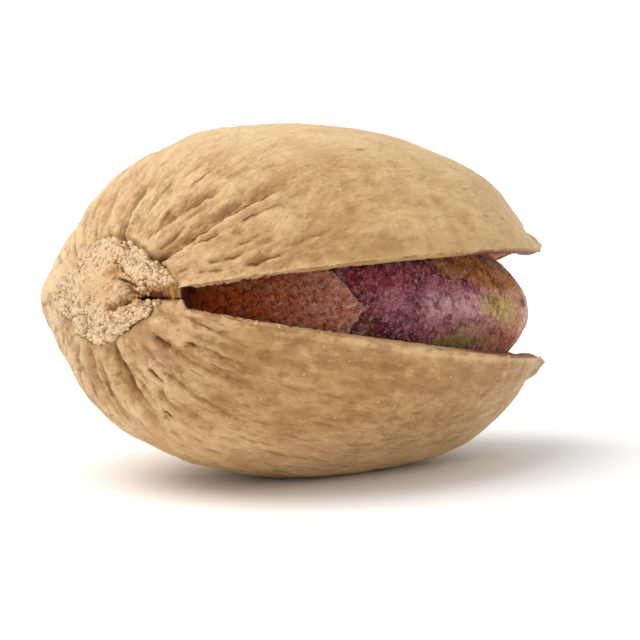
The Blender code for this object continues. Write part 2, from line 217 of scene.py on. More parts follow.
class Finish(Board):
    """The tree of a new material."""

    def __init__(self, name, roughness, gloss):
        self.material = bpy.data.materials.new(name)
        self.material.use_nodes = True
        super().__init__(self.material.node_tree)
        self.shader = self.tree.nodes["Principled BSDF"]
        self.shader.inputs["Roughness"].default_value = roughness
        self.shader.inputs["Specular IOR Level"].default_value = gloss

    def read_one(self, name):
        out = "Vector" if name in VECTORS else "Fac"
        return self.add("ShaderNodeAttribute", {"attribute_name": name}, {}, out)

    def end(self, colour, height):
        """Feeds the shader a colour and, as a bump, a height in millimetres."""
        self.feed(self.shader, "Base Color", colour)
        self.feed(self.shader, "Normal", self.add("ShaderNodeBump", {}, {"Height": height, "Distance": MM}))
        return self.material


print("A mid tan in linear light:", [round(part, 3) for part in paint(212, 170, 120)])

# %% [markdown]
# ## Trees for shapes
# Geometry Nodes do what repeats or follows a surface: the kernel's form, wrinkles, crumbs and hairs. Each
# tree gets named inputs for its sizes. A modifier's input is set by its socket's identifier. The result is
# then kept as a plain mesh, because the export drops instances.

# %% ShapeBoard
SOCKET_TYPES = {int: "NodeSocketInt", float: "NodeSocketFloat", bpy.types.Material: "NodeSocketMaterial"}


class ShapeBoard(Board):
    """A Geometry Nodes tree with one named input for each size."""

    def __init__(self, name, sizes):
        super().__init__(bpy.data.node_groups.new(name, "GeometryNodeTree"))
        self.sizes = sizes
        for way in ("OUTPUT", "INPUT"):
            self.tree.interface.new_socket(name="Geometry", in_out=way, socket_type="NodeSocketGeometry")
        for size, value in sizes.items():
            self.tree.interface.new_socket(name=size, in_out="INPUT", socket_type=SOCKET_TYPES[type(value)])
        self.entry = self.tree.nodes.new("NodeGroupInput")

    def size(self, name):
        return Signal(self, self.entry.outputs[name])

    def kind(self, name):
        return {"data_type": "FLOAT_VECTOR" if name in VECTORS else "FLOAT"}

    def read_one(self, name):
        return self.add("GeometryNodeInputNamedAttribute", self.kind(name), {"Name": name})

    def store(self, geometry, name, value):
        sockets = {"Geometry": geometry, "Name": name, "Value": value}
        return self.add("GeometryNodeStoreNamedAttribute", {**self.kind(name), "domain": "POINT"}, sockets)

    def lift(self, geometry, height):
        """Moves points along their normals by a height in millimetres."""
        push = self.add("GeometryNodeInputNormal").scale(height * MM)
        return self.add("GeometryNodeSetPosition", {}, {"Geometry": geometry, "Offset": push})

    def random(self, low, high, seed):
        settings = {"data_type": "FLOAT_VECTOR" if isinstance(low, tuple) else "FLOAT"}
        return self.add("FunctionNodeRandomValue", settings, {"Min": low, "Max": high, "Seed": seed})

    def grow(self, thing, geometry):
        """Ends the tree, runs it on a piece and keeps what it made as that piece's plain mesh."""
        made = self.add("GeometryNodeRealizeInstances", {}, {"Geometry": geometry})
        sockets = {"Geometry": made, "Material": self.size("Finish")}
        made = self.add("GeometryNodeSetMaterial", {}, sockets)
        leaving = self.tree.nodes.new("NodeGroupOutput")
        self.tree.links.new(made.socket, leaving.inputs["Geometry"])
        modifier = thing.modifiers.new(self.tree.name, "NODES")
        modifier.node_group = self.tree
        for item in self.tree.interface.items_tree:
            if item.in_out == "INPUT" and item.name in self.sizes:
                modifier[item.identifier] = self.sizes[item.name]
        keep_mesh(thing)
        return thing


def keep_mesh(thing):
    """Makes what a piece's modifiers show its own plain mesh."""
    graph = bpy.context.evaluated_depsgraph_get()
    shown = thing.evaluated_get(graph)
    thing.data = bpy.data.meshes.new_from_object(shown, preserve_all_data_layers=True, depsgraph=graph)
    thing.modifiers.clear()


def add_thing(name, mesh=None):
    thing = bpy.data.objects.new(name, mesh or bpy.data.meshes.new(name))
    bpy.context.scene.collection.objects.link(thing)
    return thing


def places_of(thing):
    """A mesh's points, as rows of metres."""
    places = np.empty(len(thing.data.vertices) * 3)
    thing.data.vertices.foreach_get("co", places)
    return places.reshape(-1, 3)


def report(thing):
    """Prints a piece's triangles and its box."""
    thing.data.calc_loop_triangles()
    places = places_of(thing) / MM
    low, high = places.min(axis=0).round(2).tolist(), places.max(axis=0).round(2).tolist()
    print(thing.name, len(thing.data.loop_triangles), "triangles, from", low, "to", high, "mm")


print("Input kinds:", sorted(SOCKET_TYPES.values()))

# %% [markdown]
# ## The closed nut
# A pistachio's shell grows as one closed, slightly bent egg and splits later. So its form is worked out
# closed, in millimetres, by two angles: `along` is 0 at the stem end and 180 degrees at the tip, and
# `around` is 0 on the near seam, +90 on top and -90 below. A sum with powers gives the blunt stem half and
# the leaner tip half, and one low ridge carries each seam. It could be sculpted or lofted through rings,
# but a formula keeps both valves, the seam and the inner face in step.

# %% The closed nut's form
STEM_HALF, TIP_HALF = 8, 10.1
NEAR_HALF_WIDTH, FAR_HALF_WIDTH = 5.94, 6.33
UPPER_DEPTH, LOWER_DEPTH = 5.48, 5.39
STEM_FULLNESS, STEM_FULLNESS_UPPER = 2.47, 2.25
TIP_FULLNESS_ACROSS, TIP_FULLNESS_UPPER, TIP_FULLNESS_LOWER = 1.69, 1.7, 1.9
BOW = 0.59
SEAM_KEEL, KEEL_SPREAD = 0.39, 0.3
BEAK, UPPER_BEAK, BEAK_SPREAD = 0.92, 0.72, 0.21
BEAK_FLARE, UPPER_FLARE = 0.29, 0.42
WALL, STEM_WALL, TIP_WALL = 0.72, 1.1, 0.62
TIP_THINNING, TIP_THIN_FROM, TIP_THIN_TO = 0.35, 85, 140
NUDGE = 1e-3  # radians
SEED, NOISE_STEP = 7, 17.3


def smooth(low, high, value):
    share = np.clip((value - low) / (high - low), 0, 1)
    return share * share * (3 - 2 * share)


def bell(distance, width=1):
    return np.exp(-((distance / width) ** 2))


def outline(sine, fullness):
    return np.clip(sine, 0, 1) ** (2 / fullness)


def closed_shell(along, around, inner=False):
    """Points of the closed nut's outer or inner face, for the two angles."""
    cosine, sine = np.cos(along), np.clip(np.sin(along), 0, 1)
    stem, upper, hollow = along < math.pi / 2, around >= 0, 1 if inner else 0
    wall = hollow * WALL * (1 - TIP_THINNING * smooth(TIP_THIN_FROM, TIP_THIN_TO, np.degrees(along)))
    half_length = np.where(stem, STEM_HALF - hollow * STEM_WALL, TIP_HALF - hollow * TIP_WALL)
    fullness = np.where(stem, STEM_FULLNESS, TIP_FULLNESS_ACROSS)
    x = -np.sign(cosine) * np.abs(cosine) ** (2 / fullness) * half_length
    beak = np.exp(-(((math.pi - along) / BEAK_SPREAD) ** 3))
    middle = -BOW * (x / (0.5 * (STEM_HALF + TIP_HALF))) ** 2
    half_width = np.where(np.cos(around) > 0, NEAR_HALF_WIDTH, FAR_HALF_WIDTH) - wall
    keel = (1 - hollow) * SEAM_KEEL * bell(np.sin(around), KEEL_SPREAD) * np.sqrt(sine)
    y = middle - (outline(sine, fullness) * half_width + keel) * np.cos(around)
    depth = np.where(upper, UPPER_DEPTH, LOWER_DEPTH) - wall
    stem_fullness = np.where(upper, STEM_FULLNESS_UPPER, STEM_FULLNESS)
    tip_fullness = np.where(upper, TIP_FULLNESS_UPPER, TIP_FULLNESS_LOWER)
    height = outline(sine, np.where(stem, stem_fullness, tip_fullness)) * depth * np.sin(np.abs(around))
    z = np.where(upper, height + UPPER_FLARE * beak, -height - BEAK_FLARE * beak)
    return np.stack([x + (1 - hollow) * np.where(upper, UPPER_BEAK, BEAK) * beak, y, z], axis=-1)


def outward(along, around):
    """The closed nut's outward direction, from its slope both ways."""
    along = np.clip(along, 0.02, math.pi - 0.02)
    side = np.where(around >= 0, 1, -1)
    inside = np.clip(np.abs(around), NUDGE * 2, math.pi - NUDGE * 2)
    down = closed_shell(along + NUDGE, side * inside) - closed_shell(along - NUDGE, side * inside)
    across = closed_shell(along, side * (inside + NUDGE)) - closed_shell(along, side * (inside - NUDGE))
    normal = np.cross(down, across) * side[..., None]
    return normal / np.linalg.norm(normal, axis=-1, keepdims=True)


print("The closed nut is", STEM_HALF + TIP_HALF + BEAK, "mm long")

# %% [markdown]
# ## Scar, cracks and furrows
# Where the nut hung on its twig there is a raised, crumbly scar. Its edge wanders, so it is a row of points
# on the stem end. Cracks and pits break it up, and beside the slit it ends in a low stained ledge, painted
# darker towards its bottom as shade under the upper lip. From its edge furrows fan out over the shoulders
# like the folds of a gathered bag. Each furrow follows a few points. Most have one steep side and one gentle
# side, as a skin that has slipped over itself. Soft swells and brown marks are placed in the same way, and
# the first of those marks are painted shade in the deepest furrows. The furrows that show best are placed
# one by one, and a seeded draw adds others all round. They could be sculpted by hand, but a few points for
# each can be read, moved and made again exactly.

# %% Scar and furrows
SCAR_OUTLINE = (  # (Y, Z) in mm, from the slit's upper lip over the top to its lower lip
    (-3.72, 0.03), (-3.7, 0.25), (-3.5, 0.52), (-3.25, 0.85), (-2.95, 1.05), (-2.62, 1.15), (-2.45, 1.45),
    (-2, 1.65), (-1.5, 1.87), (-1, 1.96), (-0.6, 2), (-0.3, 1.97), (0, 1.88), (0.12, 1.75),
    (0.5, 1.5), (0.6, 1.18), (1, 1.12), (1.3, 0.95), (1.8, 0.7), (2.1, 0.55), (2.35, 0.3), (2.45, 0.1),
    (2.3, -0.1), (2.05, -0.35), (1.8, -0.58), (1.35, -0.66), (1, -0.78), (0.9, -1.12), (0.5, -1.32),
    (0.3, -1.42), (-0.1, -1.46), (-0.5, -1.42), (-1, -1.36), (-1.3, -1.3), (-1.5, -1.15), (-1.75, -1.05),
    (-2, -0.92), (-2.2, -0.78), (-2.4, -0.6), (-2.72, -0.48), (-2.88, -0.25), (-2.92, -0.03),
)
SCAR_RAISE, SCAR_GROOVE = 0.09, 0.16
BULGE_AT, BULGE_SIZE, BULGE_RAISE = (-0.55, 0.4), (1.25, 0.72), 0.04
LEDGE_FROM, LEDGE_TO, LEDGE_TOP, LEDGE_DEPTH = -2.6, -3.72, 0.27, 0.2
# The third number browns the crust along the crack, partly as painted shade in it.
SCAR_CRACKS = (  # depth, half width and stain in mm, then (Y, Z) points
    (0.46, 0.06, 0.5, ((-2.02, 0.46), (-1.78, 0.53), (-1.55, 0.6), (-1.33, 0.7))),
    (0.46, 0.09, 0.9, ((-1.9, 0.36), (-2.02, 0.16), (-2.28, 0.06), (-2.62, 0.05))),
    (0.22, 0.12, 1, ((-2.05, 0.02), (-1.75, -0.1), (-1.35, -0.24), (-1.02, -0.32))),
    (0.22, 0.045, 0.3, ((-2.05, -0.02), (-1.6, -0.22), (-1.2, -0.4))),
    (0.12, 0.11, 0.9, ((-1.6, 0.9), (-1.3, 0.84), (-1.05, 0.78))),
    (0.22, 0.05, 0.3, ((-1.95, 0.64), (-1.7, 0.8), (-1.48, 0.96))),
    (0.2, 0.05, 0.3, ((-1.3, 0.98), (-1.45, 1.08), (-1.2, 1.14))),
    (0.18, 0.05, 0.2, ((-2.85, 0.66), (-2.78, 0.84), (-2.62, 0.98))),
    (0.2, 0.05, 0.2, ((-3.3, 0.84), (-3.12, 0.88), (-2.98, 0.98))),
    (0.16, 0.05, 0.2, ((-2.9, 0.36), (-2.66, 0.52), (-2.45, 0.56))),
    (0.22, 0.05, 0.2, ((-2.75, 0.28), (-2.4, 0.34), (-2.1, 0.38))),
    (0.12, 0.04, 0.2, ((-1.1, 1.7), (-1.35, 1.62), (-1.75, 1.5))),
    (0.1, 0.04, 0.1, ((-0.15, 0), (0.05, -0.2))),
    (0.14, 0.04, 0.1, ((0.3, -0.55), (0.62, -0.52), (1, -0.65), (1.55, -0.62))),
)
SCAR_PITS = (  # (Y, Z), half width and depth in mm
    (0.52, -0.27, 0.07, 0.26), (1, -0.64, 0.08, 0.3), (0.16, -0.9, 0.15, 0.15), (-1.34, 1.84, 0.08, 0.34),
    (-1.34, 1.08, 0.07, 0.16), (-1.48, 0.96, 0.06, 0.16), (0.98, 0.74, 0.07, 0.12), (0.66, 0.82, 0.06, 0.12),
    (0.3, 0.76, 0.06, 0.12), (0.32, 0.97, 0.05, 0.1), (0.6, 0.98, 0.05, 0.1), (-0.06, 1.5, 0.06, 0.12),
    (-0.62, 1.5, 0.06, 0.12), (-2.52, 0.8, 0.06, 0.14), (-2.86, 0.76, 0.06, 0.16), (-2.45, 0.5, 0.06, 0.14),
)
# The darkness of a furrow's line is painted shade in its narrow bottom.
FURROWS = (  # depth, half width above and below in mm, darkness of its line, then (along, around) points
    (0.34, 0.3, 0.12, 1, ((17, 66), (21, 70), (25, 71.5), (30, 73), (44, 76))),
    (0.05, 0.06, 0.06, 0.5, ((25, 66), (27.5, 64.6))),
    (0.07, 0.16, 0.08, 0.2, ((26, 63), (34, 62), (46, 61.5))),
    (0.06, 0.12, 0.07, 0.2, ((26, 57.5), (36, 56.6))),
    (0.07, 0.12, 0.07, 0.3, ((26, 51.8), (33, 51), (42, 50.6))),
    (0.1, 0.12, 0.07, 0.5, ((25, 45.6), (30, 44.8))),
    (0.22, 0.3, 0.09, 0.8, ((29, 43.9), (33, 43.2), (38, 42.1), (42, 42.3), (48, 42), (58, 42.8))),
    (0.08, 0.12, 0.07, 0.4, ((36, 38.5), (44, 38), (52, 38.6))),
    (0.12, 0.14, 0.07, 0.6, ((26, 33.2), (33, 33.8), (39, 34.6), (44, 35))),
    (0.26, 0.42, 0.08, 0.8, ((21, 25), (28, 25.2), (34, 25.2), (39, 25.8))),
    (0.22, 0.26, 0.08, 0.9, ((35, 26.3), (42, 27.6), (50, 29.1), (58, 30.8), (64, 31.5), (74, 34.5))),
    (0.1, 0.12, 0.07, 0.6, ((38, 23.2), (44, 23.6), (50, 24.2))),
    (0.12, 0.12, 0.07, 0.7, ((54, 25.4), (58, 25.9), (64, 26.3), (72, 28.5))),
    (0.09, 0.12, 0.07, 0.5, ((48, 15), (55, 16.6), (64, 18.5))),
    (0.1, 0.12, 0.07, 0.6, ((39, 11.4), (47, 11.2), (54, 12.6))),
    (0.09, 0.1, 0.07, 0.6, ((50, 6.2), (57, 7.2), (66, 9.5))),
    (0.09, 0.12, 0.07, 0.5, ((28, 12.4), (33, 12.6))),
    (0.09, 0.1, 0.07, 0.5, ((34, 8.3), (41, 7), (46, 5.6))),
    (0.08, 0.12, 0.07, 0.4, ((57, 10), (68, 11.5), (84, 15.5))),
    (0.1, 0.14, 0.12, 0.3, ((20, -9), (27, -9.2), (32, -10.5))),
    (0.3, 0.09, 0.11, 0.8, ((23, -26.6), (27, -26.8), (31.5, -26.4))),
    (0.14, 0.09, 0.11, 0.5, ((34, -19.2), (39.3, -20.2))),
    (0.09, 0.22, 0.16, 0.3, ((36, -15), (44, -14.4), (54, -14.2), (62, -13.4), (70, -15.2), (82, -18.8))),
    (0.05, 0.07, 0.07, 0.5, ((53, -20.8), (56.5, -20.8))),
    (0.04, 0.07, 0.07, 0.3, ((56, -5.3), (66, -5.2))),
    (0.08, 0.2, 0.14, 0.4, ((42, -26.4), (50, -27.2), (58, -27), (66, -28))),
    (0.08, 0.14, 0.08, 0.45, ((32, -42.2), (38, -41.3), (44, -42.4), (52, -42.4), (60, -44), (70, -44.2))),
    (0.13, 0.1, 0.08, 0.9, ((28, -48.6), (33, -48.2), (37, -46.4))),
    (0.14, 0.3, 0.24, 0.2, ((17, -50), (28, -49.6))),
    (0.07, 0.08, 0.08, 0.5, ((36.5, -53.4), (39.5, -53.6))),
    (0.08, 0.1, 0.08, 0.7, ((43, -61), (49, -60.8))),
    (0.07, 0.14, 0.12, 0.4, ((44, -53.4), (58, -53))),
    (0.28, 0.22, 0.4, 0.25, ((12, -72), (18, -69.5), (26, -68.5), (36, -68.8), (50, -70))),
    (0.16, 0.24, 0.2, 0.2, ((14, -78), (24, -76), (40, -76))),
    (0.08, 0.26, 0.28, 0.1, ((13, -97), (22, -95), (34, -92), (52, -87))),
    (0.18, 0.2, 0.12, 0.5, ((14, -113), (21, -107.5), (31, -103.5), (46, -100))),
    (0.08, 0.26, 0.18, 0.3, ((14, 106), (24, 100), (40, 96))),
    (0.09, 0.26, 0.18, 0.3, ((16, 90), (26, 87), (42, 85))),
    (-0.1, 0.2, 0.2, 0, ((20.5, -14.6), (24.5, -14.4))),
    (-0.05, 0.14, 0.14, 0, ((30, -26.5), (33, -27.5))),
    (-0.06, 0.12, 0.12, 0, ((35, -25), (37, -25.6))),
    (-0.05, 0.14, 0.14, 0, ((37, -27.6), (40.5, -27))),
)
ROUND_FURROWS, ROUND_FROM, ROUND_TO = 12, 118, 246
ROUND_SIZES = (0.02, 0.06), (0.18, 0.3), (0.14, 0.22), (0.1, 0.4)  # ranges of the same four values as above
THIN_FURROWS = 90
PLACED_SWELLS = (  # rise in mm, along and around at the middle, half sizes in degrees
    (0.2, 133, -62, 14, 18), (0.13, 136, 55, 14, 16), (-0.18, 42, 138, 8, 10), (0.14, 57, 106, 7, 9),
    (-0.12, 41, -141, 7, 8), (-0.1, 153, 24, 7, 12), (0.07, 142, 48, 6, 8), (0.07, 117, 68, 8, 8),
    (0.06, 53, 115, 6, 6), (0.2, 36, 180, 9, 13), (0.1, 55, -112, 8, 10), (0.05, 76, 89, 10, 10),
)
# Brown marks, partly painted shade: the first three darken the deepest furrows as their shade.
SMUDGES_AND_SHADE = (  # along and around at the middle, half sizes in degrees, strength of the brown
    (25, 74, 5, 3.2, 0.7), (39.5, 43.6, 4, 1.8, 0.6), (26, 27.5, 4, 2.5, 0.6), (40, 28.3, 4.5, 1.3, 0.6),
    (64, 46, 4, 2, 0.3), (66, 66, 2.5, 1.5, 0.5), (52, 42.2, 2.5, 0.8, 0.5), (60, 31.5, 6, 1, 0.3),
    (47, 10.5, 6, 1.2, 0.35), (58, 9.5, 7, 1.5, 0.35), (76, 7, 6, 3, 0.35), (72, 28, 6, 3, 0.25),
    (57, 14.5, 8, 1.2, 0.3), (86.7, 30, 1.5, 2, 0.5), (84.3, 20, 1.2, 3, 0.6), (110.3, 22, 1.5, 2, 0.6),
    (105.3, 21, 1.2, 2.5, 0.5), (99.3, 21, 2, 2, 0.4), (89, 6.5, 4, 3, 0.6), (91.7, 6, 1, 4, 0.5),
    (96.7, 6.5, 2.5, 3, 0.45), (101.7, 4.5, 1.5, 3.5, 0.55), (111.3, 16.5, 2, 2.5, 0.3),
    (142.3, 48.5, 2, 3, 0.3),
    (36, -19, 2.4, 0.9, 0.7), (45, -14.5, 5, 1, 0.5), (60, -12, 5, 1.2, 0.4), (58, -16, 6, 1.5, 0.35),
    (50, -21.5, 2, 0.6, 0.6), (54.5, -20.7, 1.6, 0.5, 0.8), (57, -27, 6, 1.2, 0.5), (62, -5.3, 4, 0.7, 0.6),
    (67, -4, 3, 2, 0.35), (50, -10.5, 2, 0.8, 0.5), (54, -42.5, 5, 1.2, 0.6), (37, -41.5, 4, 0.8, 0.4),
    (32, -48, 3, 0.7, 0.7), (20, -50, 2, 3, 0.5), (25, -55, 6, 2.5, 0.4), (38.5, -54, 1.3, 0.7, 0.7),
    (53, -53, 6, 1.2, 0.4), (66, -38, 1.3, 0.6, 0.6), (46, -61, 2, 0.8, 0.5), (76, -45, 2, 1, 0.5),
    (27, -68, 10, 3, 0.6), (20, -73, 4, 3, 0.4), (40, -70, 8, 4, 0.3), (24, -95, 5, 2, 0.4),
    (26, -103, 4, 1.3, 0.4), (30, -109, 9, 3, 0.4),
    (85.3, -16.5, 3.5, 1.6, 0.7), (88.3, -17, 1.5, 1.5, 0.6), (95, -17, 3.5, 2.5, 0.5),
    (100, -16.5, 2, 2, 0.6), (106.3, -17, 2, 1.6, 0.55), (110.7, -16, 2, 2, 0.45), (93, -11, 2.5, 1.4, 0.4),
    (104.7, -33, 2.5, 2, 0.45), (98, -44, 3, 1.5, 0.4), (128.3, -4, 0.8, 2, 0.5), (116, -8.5, 4, 2, 0.3),
    (83, -23.5, 3, 2, 0.3), (120, -26, 6, 2, 0.25),
)

# %% Reading the tables
def read_around(pairs, degrees):
    pairs = np.array(pairs, float)
    return np.interp(np.mod(degrees, 360), pairs[:, 0], pairs[:, 1], period=360)


def turn_between(a, b):
    return np.mod(a - b + 180, 360) - 180


def oval_distance(along, around, along_at, around_at, half_along, half_around):
    """Distance from the middle of an oval on the nut, in its half sizes."""
    return np.hypot((along - along_at) / half_along, turn_between(around, around_at) / half_around)


def noise_at(places, size, number):
    """Smooth noise of about -1 to 1 at each place, in lumps of the given size. Each number gives its own."""
    flat = np.asarray(places, float).reshape(-1, 3) / size + (SEED + number) * NOISE_STEP
    return np.array([noise.noise(place) for place in flat]).reshape(np.shape(places)[:-1])


def angles_of(outline_points):
    """Angles (around, along) of points given as (Y, Z) on the closed nut's stem end, in order around it."""
    along, around = np.meshgrid(np.arange(1, 36, 0.25), np.arange(-179.5, 180, 0.5))
    grid = closed_shell(np.radians(along), np.radians(around))[..., 1:]
    found = []
    for y, z in outline_points:
        nearest = np.argmin(np.hypot(grid[..., 0] - y, grid[..., 1] - z))
        found.append((around.flat[nearest] % 360, along.flat[nearest]))
    return sorted(found)


def line_distance(y, z, line):
    nearest = np.inf
    for (y0, z0), (y1, z1) in zip(line, line[1:]):
        run = (y1 - y0) ** 2 + (z1 - z0) ** 2
        share = np.clip(((y - y0) * (y1 - y0) + (z - z0) * (z1 - z0)) / run, 0, 1)
        nearest = np.minimum(nearest, np.hypot(y - y0 - share * (y1 - y0), z - z0 - share * (z1 - z0)))
    return nearest


def all_furrows():
    """The placed furrows, those on the side that the photo hides, and thin ones all round."""
    draw = np.random.default_rng(SEED)
    found = list(FURROWS)
    starts = np.linspace(ROUND_FROM, ROUND_TO, ROUND_FURROWS)
    for start in starts + draw.uniform(-4, 4, ROUND_FURROWS):
        lean = (180 - start) * 0.1
        end = draw.uniform(40, 66)
        sizes = tuple(draw.uniform(*limits) for limits in ROUND_SIZES)
        line = (16, start), (28, start + 0.6 * lean + draw.uniform(-1, 1)), (end, start + lean)
        found.append((*sizes, line))
    starts = np.linspace(-180, 180, THIN_FURROWS, endpoint=False)
    for start in starts + draw.uniform(-3, 3, THIN_FURROWS):
        first = float(read_around(SCAR_EDGE, start)) + draw.uniform(1, 30)
        lean = draw.uniform(0.5, 4) * (1 if start > 0 or start < -55 else -1)
        middle, end = first + draw.uniform(4, 9), first + draw.uniform(10, 26)
        line = (first, start), (middle, start + 0.5 * lean + draw.uniform(-0.7, 0.7)), (end, start + lean)
        found.append((draw.uniform(0.03, 0.07), 0.11, 0.07, draw.uniform(0.1, 0.6), line))
    return found


SCAR_EDGE = angles_of(SCAR_OUTLINE)
print(len(all_furrows()), "furrows")

# %% [markdown]
# The heights of all these forms are added up on the closed nut. A furrow's line wanders a little, its depth
# comes and goes, and a low ridge stands along its steep side. Each point also keeps its distance from the
# nearest sharp line and from the scar's edge. The finish draws thin dark lines of painted shade from those
# distances, much finer than the mesh itself. A bump could fake the furrows, but real heights also shape the
# outline.

# %% Heights on the outer face
FURROW_WANDER = 0.7  # degrees
RIDGE_SHARE = 0.35
LINE_REACH = 0.28  # mm
SCAR_MARKS_END = 28, 34  # degrees along, where the cracks and pits of the scar fade out
MM_PER_DEGREE, MIDDLE_RADIUS = 0.155, 5.7
WAIST_DEPTH, WAIST_AT, WAIST_SPREAD = 0.03, 27, 7
SWELL_HEIGHT, SWELL_SIZE = 0.04, 1.9
PLACE, NUT, GRAIN = slice(0, 3), slice(3, 6), slice(6, 9)  # columns of a table with one row for each point
ALONG, SEAM, LAYER, SCAR, CRUMB, STAIN_AND_SHADE, EDGE, LINE, DARK, FOLD, SMUDGE_AND_SHADE, COLUMN_COUNT = range(9, 21)


def round_radius(along):
    """About how far a place is from the nut's long axis, in millimetres."""
    return MIDDLE_RADIUS * outline(np.sin(np.radians(along)), STEM_FULLNESS)


def scar_relief(along, around, place):
    """Height of the scar's forms, and their numbers: EDGE is in millimetres past the scar's edge."""
    crumble = 0.7 * noise_at(place, 0.5, 8) + 0.5 * noise_at(place, 0.2, 9)
    past_edge = (along - read_around(SCAR_EDGE, around) + crumble) * MM_PER_DEGREE
    inside = 1 - smooth(-0.07, 0.02, past_edge)
    y, z = place[..., 1], place[..., 2]
    bulge = bell(np.hypot((y - BULGE_AT[0]) / BULGE_SIZE[0], (z - BULGE_AT[1]) / BULGE_SIZE[1]))
    depth_share = 0.65 + 0.35 * noise_at(place, 1.3, 14)
    on_top = smooth(20, 50, around) * (1 - smooth(150, 175, around))
    reach = np.where(past_edge > 0, 0.06 + 0.12 * on_top, 0.05)
    height = inside * (SCAR_RAISE + BULGE_RAISE * bulge) - SCAR_GROOVE * depth_share * bell(past_edge, reach)
    at_stem = 1 - smooth(*SCAR_MARKS_END, along)
    wander = 0.05 * noise_at(place, 0.3, 10)
    stain = np.zeros_like(along)
    for depth, width, colour, line in SCAR_CRACKS:
        away = line_distance(y + wander, z + wander, line)
        stain = np.maximum(stain, at_stem * colour * bell(away, width + 0.07))
        height = height - at_stem * depth * bell(away, width)
    for pit_y, pit_z, width, depth in SCAR_PITS:
        height = height - at_stem * depth * bell(np.hypot(y + wander - pit_y, z + wander - pit_z), width)
    ragged = 0.6 * wander + 0.11 * noise_at(place, 0.16, 15)
    top, start, end = LEDGE_TOP + ragged, LEDGE_FROM + 1.5 * ragged, LEDGE_TO + 0.7 * ragged
    ledge = smooth(top, top - 0.09, z) * smooth(start, start - 0.2, y)
    ledge = ledge * (around > 0) * smooth(end - 0.05, end + 0.03, y) * at_stem
    height = height - LEDGE_DEPTH * ledge * (0.8 + 0.3 * noise_at(place, 0.2, 16))
    crumb = inside * (1 - 0.9 * bulge) * (1 - ledge)
    # The cracks' brown and the ledge are kept as one number; the ledge's brown is partly painted shade under
    # the upper lip.
    return height, {SCAR: inside, CRUMB: crumb, STAIN_AND_SHADE: np.maximum(stain, 1.6 * ledge), EDGE: past_edge}


def furrow_relief(along, around):
    """Height of the furrows, the distance from the nearest sharp line, and how dark that line is."""
    turn = np.radians(around)
    spot = np.stack([along / 7, 2.4 * np.cos(turn), 2.4 * np.sin(turn)], axis=-1)
    wander = noise_at(spot * 1.5, 1, 11) + 0.5 * noise_at(spot * 5, 1, 12)
    wander = FURROW_WANDER * wander
    vary = np.clip(1 + 0.7 * noise_at(spot * (1, 3, 3), 1, 13), 0.3, 1.5)
    height, dark = np.zeros_like(along), np.zeros_like(along)
    nearest, owner = np.full_like(along, LINE_REACH), np.full_like(along, -1)
    radius = np.radians(round_radius(along))
    for number, (depth, above, below, darkness, line) in enumerate(all_furrows()):
        marks, turns = np.array(line).T
        start, end = marks[0], marks[-1]
        lead, trail = min(1.5, 0.3 * (end - start)), min(9, 0.45 * (end - start))
        away = turn_between(around + wander, np.interp(along, marks, turns)) * radius
        fade = smooth(start - lead, start + lead, along) * (1 - smooth(end - trail, end, along))
        dip = bell(away, np.where(away > 0, above, below))
        ridge = bell(away + 2 * below, below) + 0.4 * bell(away - above - 0.12, 0.14)
        height = height - depth * fade * vary * (dip - RIDGE_SHARE * ridge)
        line_dark = fade * darkness * smooth(LINE_REACH, 0.4 * LINE_REACH, np.abs(away))
        nearer = line_dark > dark
        nearest, dark = np.where(nearer, away, nearest), np.maximum(dark, line_dark)
        owner = np.where(nearer, number, owner)
    down, across = np.diff(owner, axis=0) != 0, np.diff(owner, axis=1) != 0
    handover = np.pad(down, ((0, 1), (0, 0))) | np.pad(down, ((1, 0), (0, 0)))
    handover |= np.pad(across, ((0, 0), (0, 1))) | np.pad(across, ((0, 0), (1, 0)))
    return height, nearest, np.where(handover, 0, dark)


def smudges_and_shade(along, around, place):
    """How brown each place is from the placed smudges, with uneven edges."""
    uneven = 0.6 * noise_at(place, 0.45, 16) + 0.35 * noise_at(place, 0.16, 17)
    brown = np.zeros_like(along)
    for *oval, strength in SMUDGES_AND_SHADE:
        away = oval_distance(along, around, *oval) + uneven
        brown = np.maximum(brown, strength * bell(np.maximum(away, 0)))
    return brown


def shell_relief(along, around, place):
    """Height of the outer face, and the numbers that its finish reads."""
    scar_height, numbers = scar_relief(along, around, place)
    furrow_height, line, dark = furrow_relief(along, around)
    furrow_height = furrow_height * (1 - 0.75 * smooth(140, 165, np.abs(around)))
    brown = smudges_and_shade(along, around, place)
    off_scar = 1 - numbers[SCAR]
    height = scar_height + furrow_height * off_scar - 0.05 * brown * off_scar
    for rise, *oval in PLACED_SWELLS:
        height = height + rise * bell(oval_distance(along, around, *oval))
    far_side = smooth(100, 125, np.abs(around)) * (1 - smooth(155, 170, np.abs(around)))
    height = height - WAIST_DEPTH * far_side * bell(along - WAIST_AT, WAIST_SPREAD)
    swells = SWELL_HEIGHT * noise_at(place * (0.35, 1, 1), SWELL_SIZE, 1)
    height = height + swells * smooth(14, 30, along) * (1 - smooth(160, 178, along))
    numbers |= {LINE: line, DARK: dark * off_scar, FOLD: furrow_height * off_scar, SMUDGE_AND_SHADE: brown * off_scar}
    return height, numbers


print("A furrow's line wanders by up to", FURROW_WANDER, "degrees;", len(SMUDGES_AND_SHADE), "smudges_and_shade")

# %% [markdown]
# ## Splitting it open
# Each valve bends away from the seam about a hinge line near the stem end, and stays straight after a short
# bend, so the walls keep their shape. Then the nut rolls and tips to the way it lies. Valves that are
# modelled open at once wouldn't match along their seam.

# %% Opening and laying down
HINGE_AT = (-8.93, -1.16)
HINGE_TURN = math.radians(54.5)
BEND_LENGTH = 3
UPPER_OPENING, LOWER_OPENING = math.radians(10), math.radians(9.3)
FAR_SLIT_START = 104
ROLL, PITCH = math.radians(-6), math.radians(5.9)


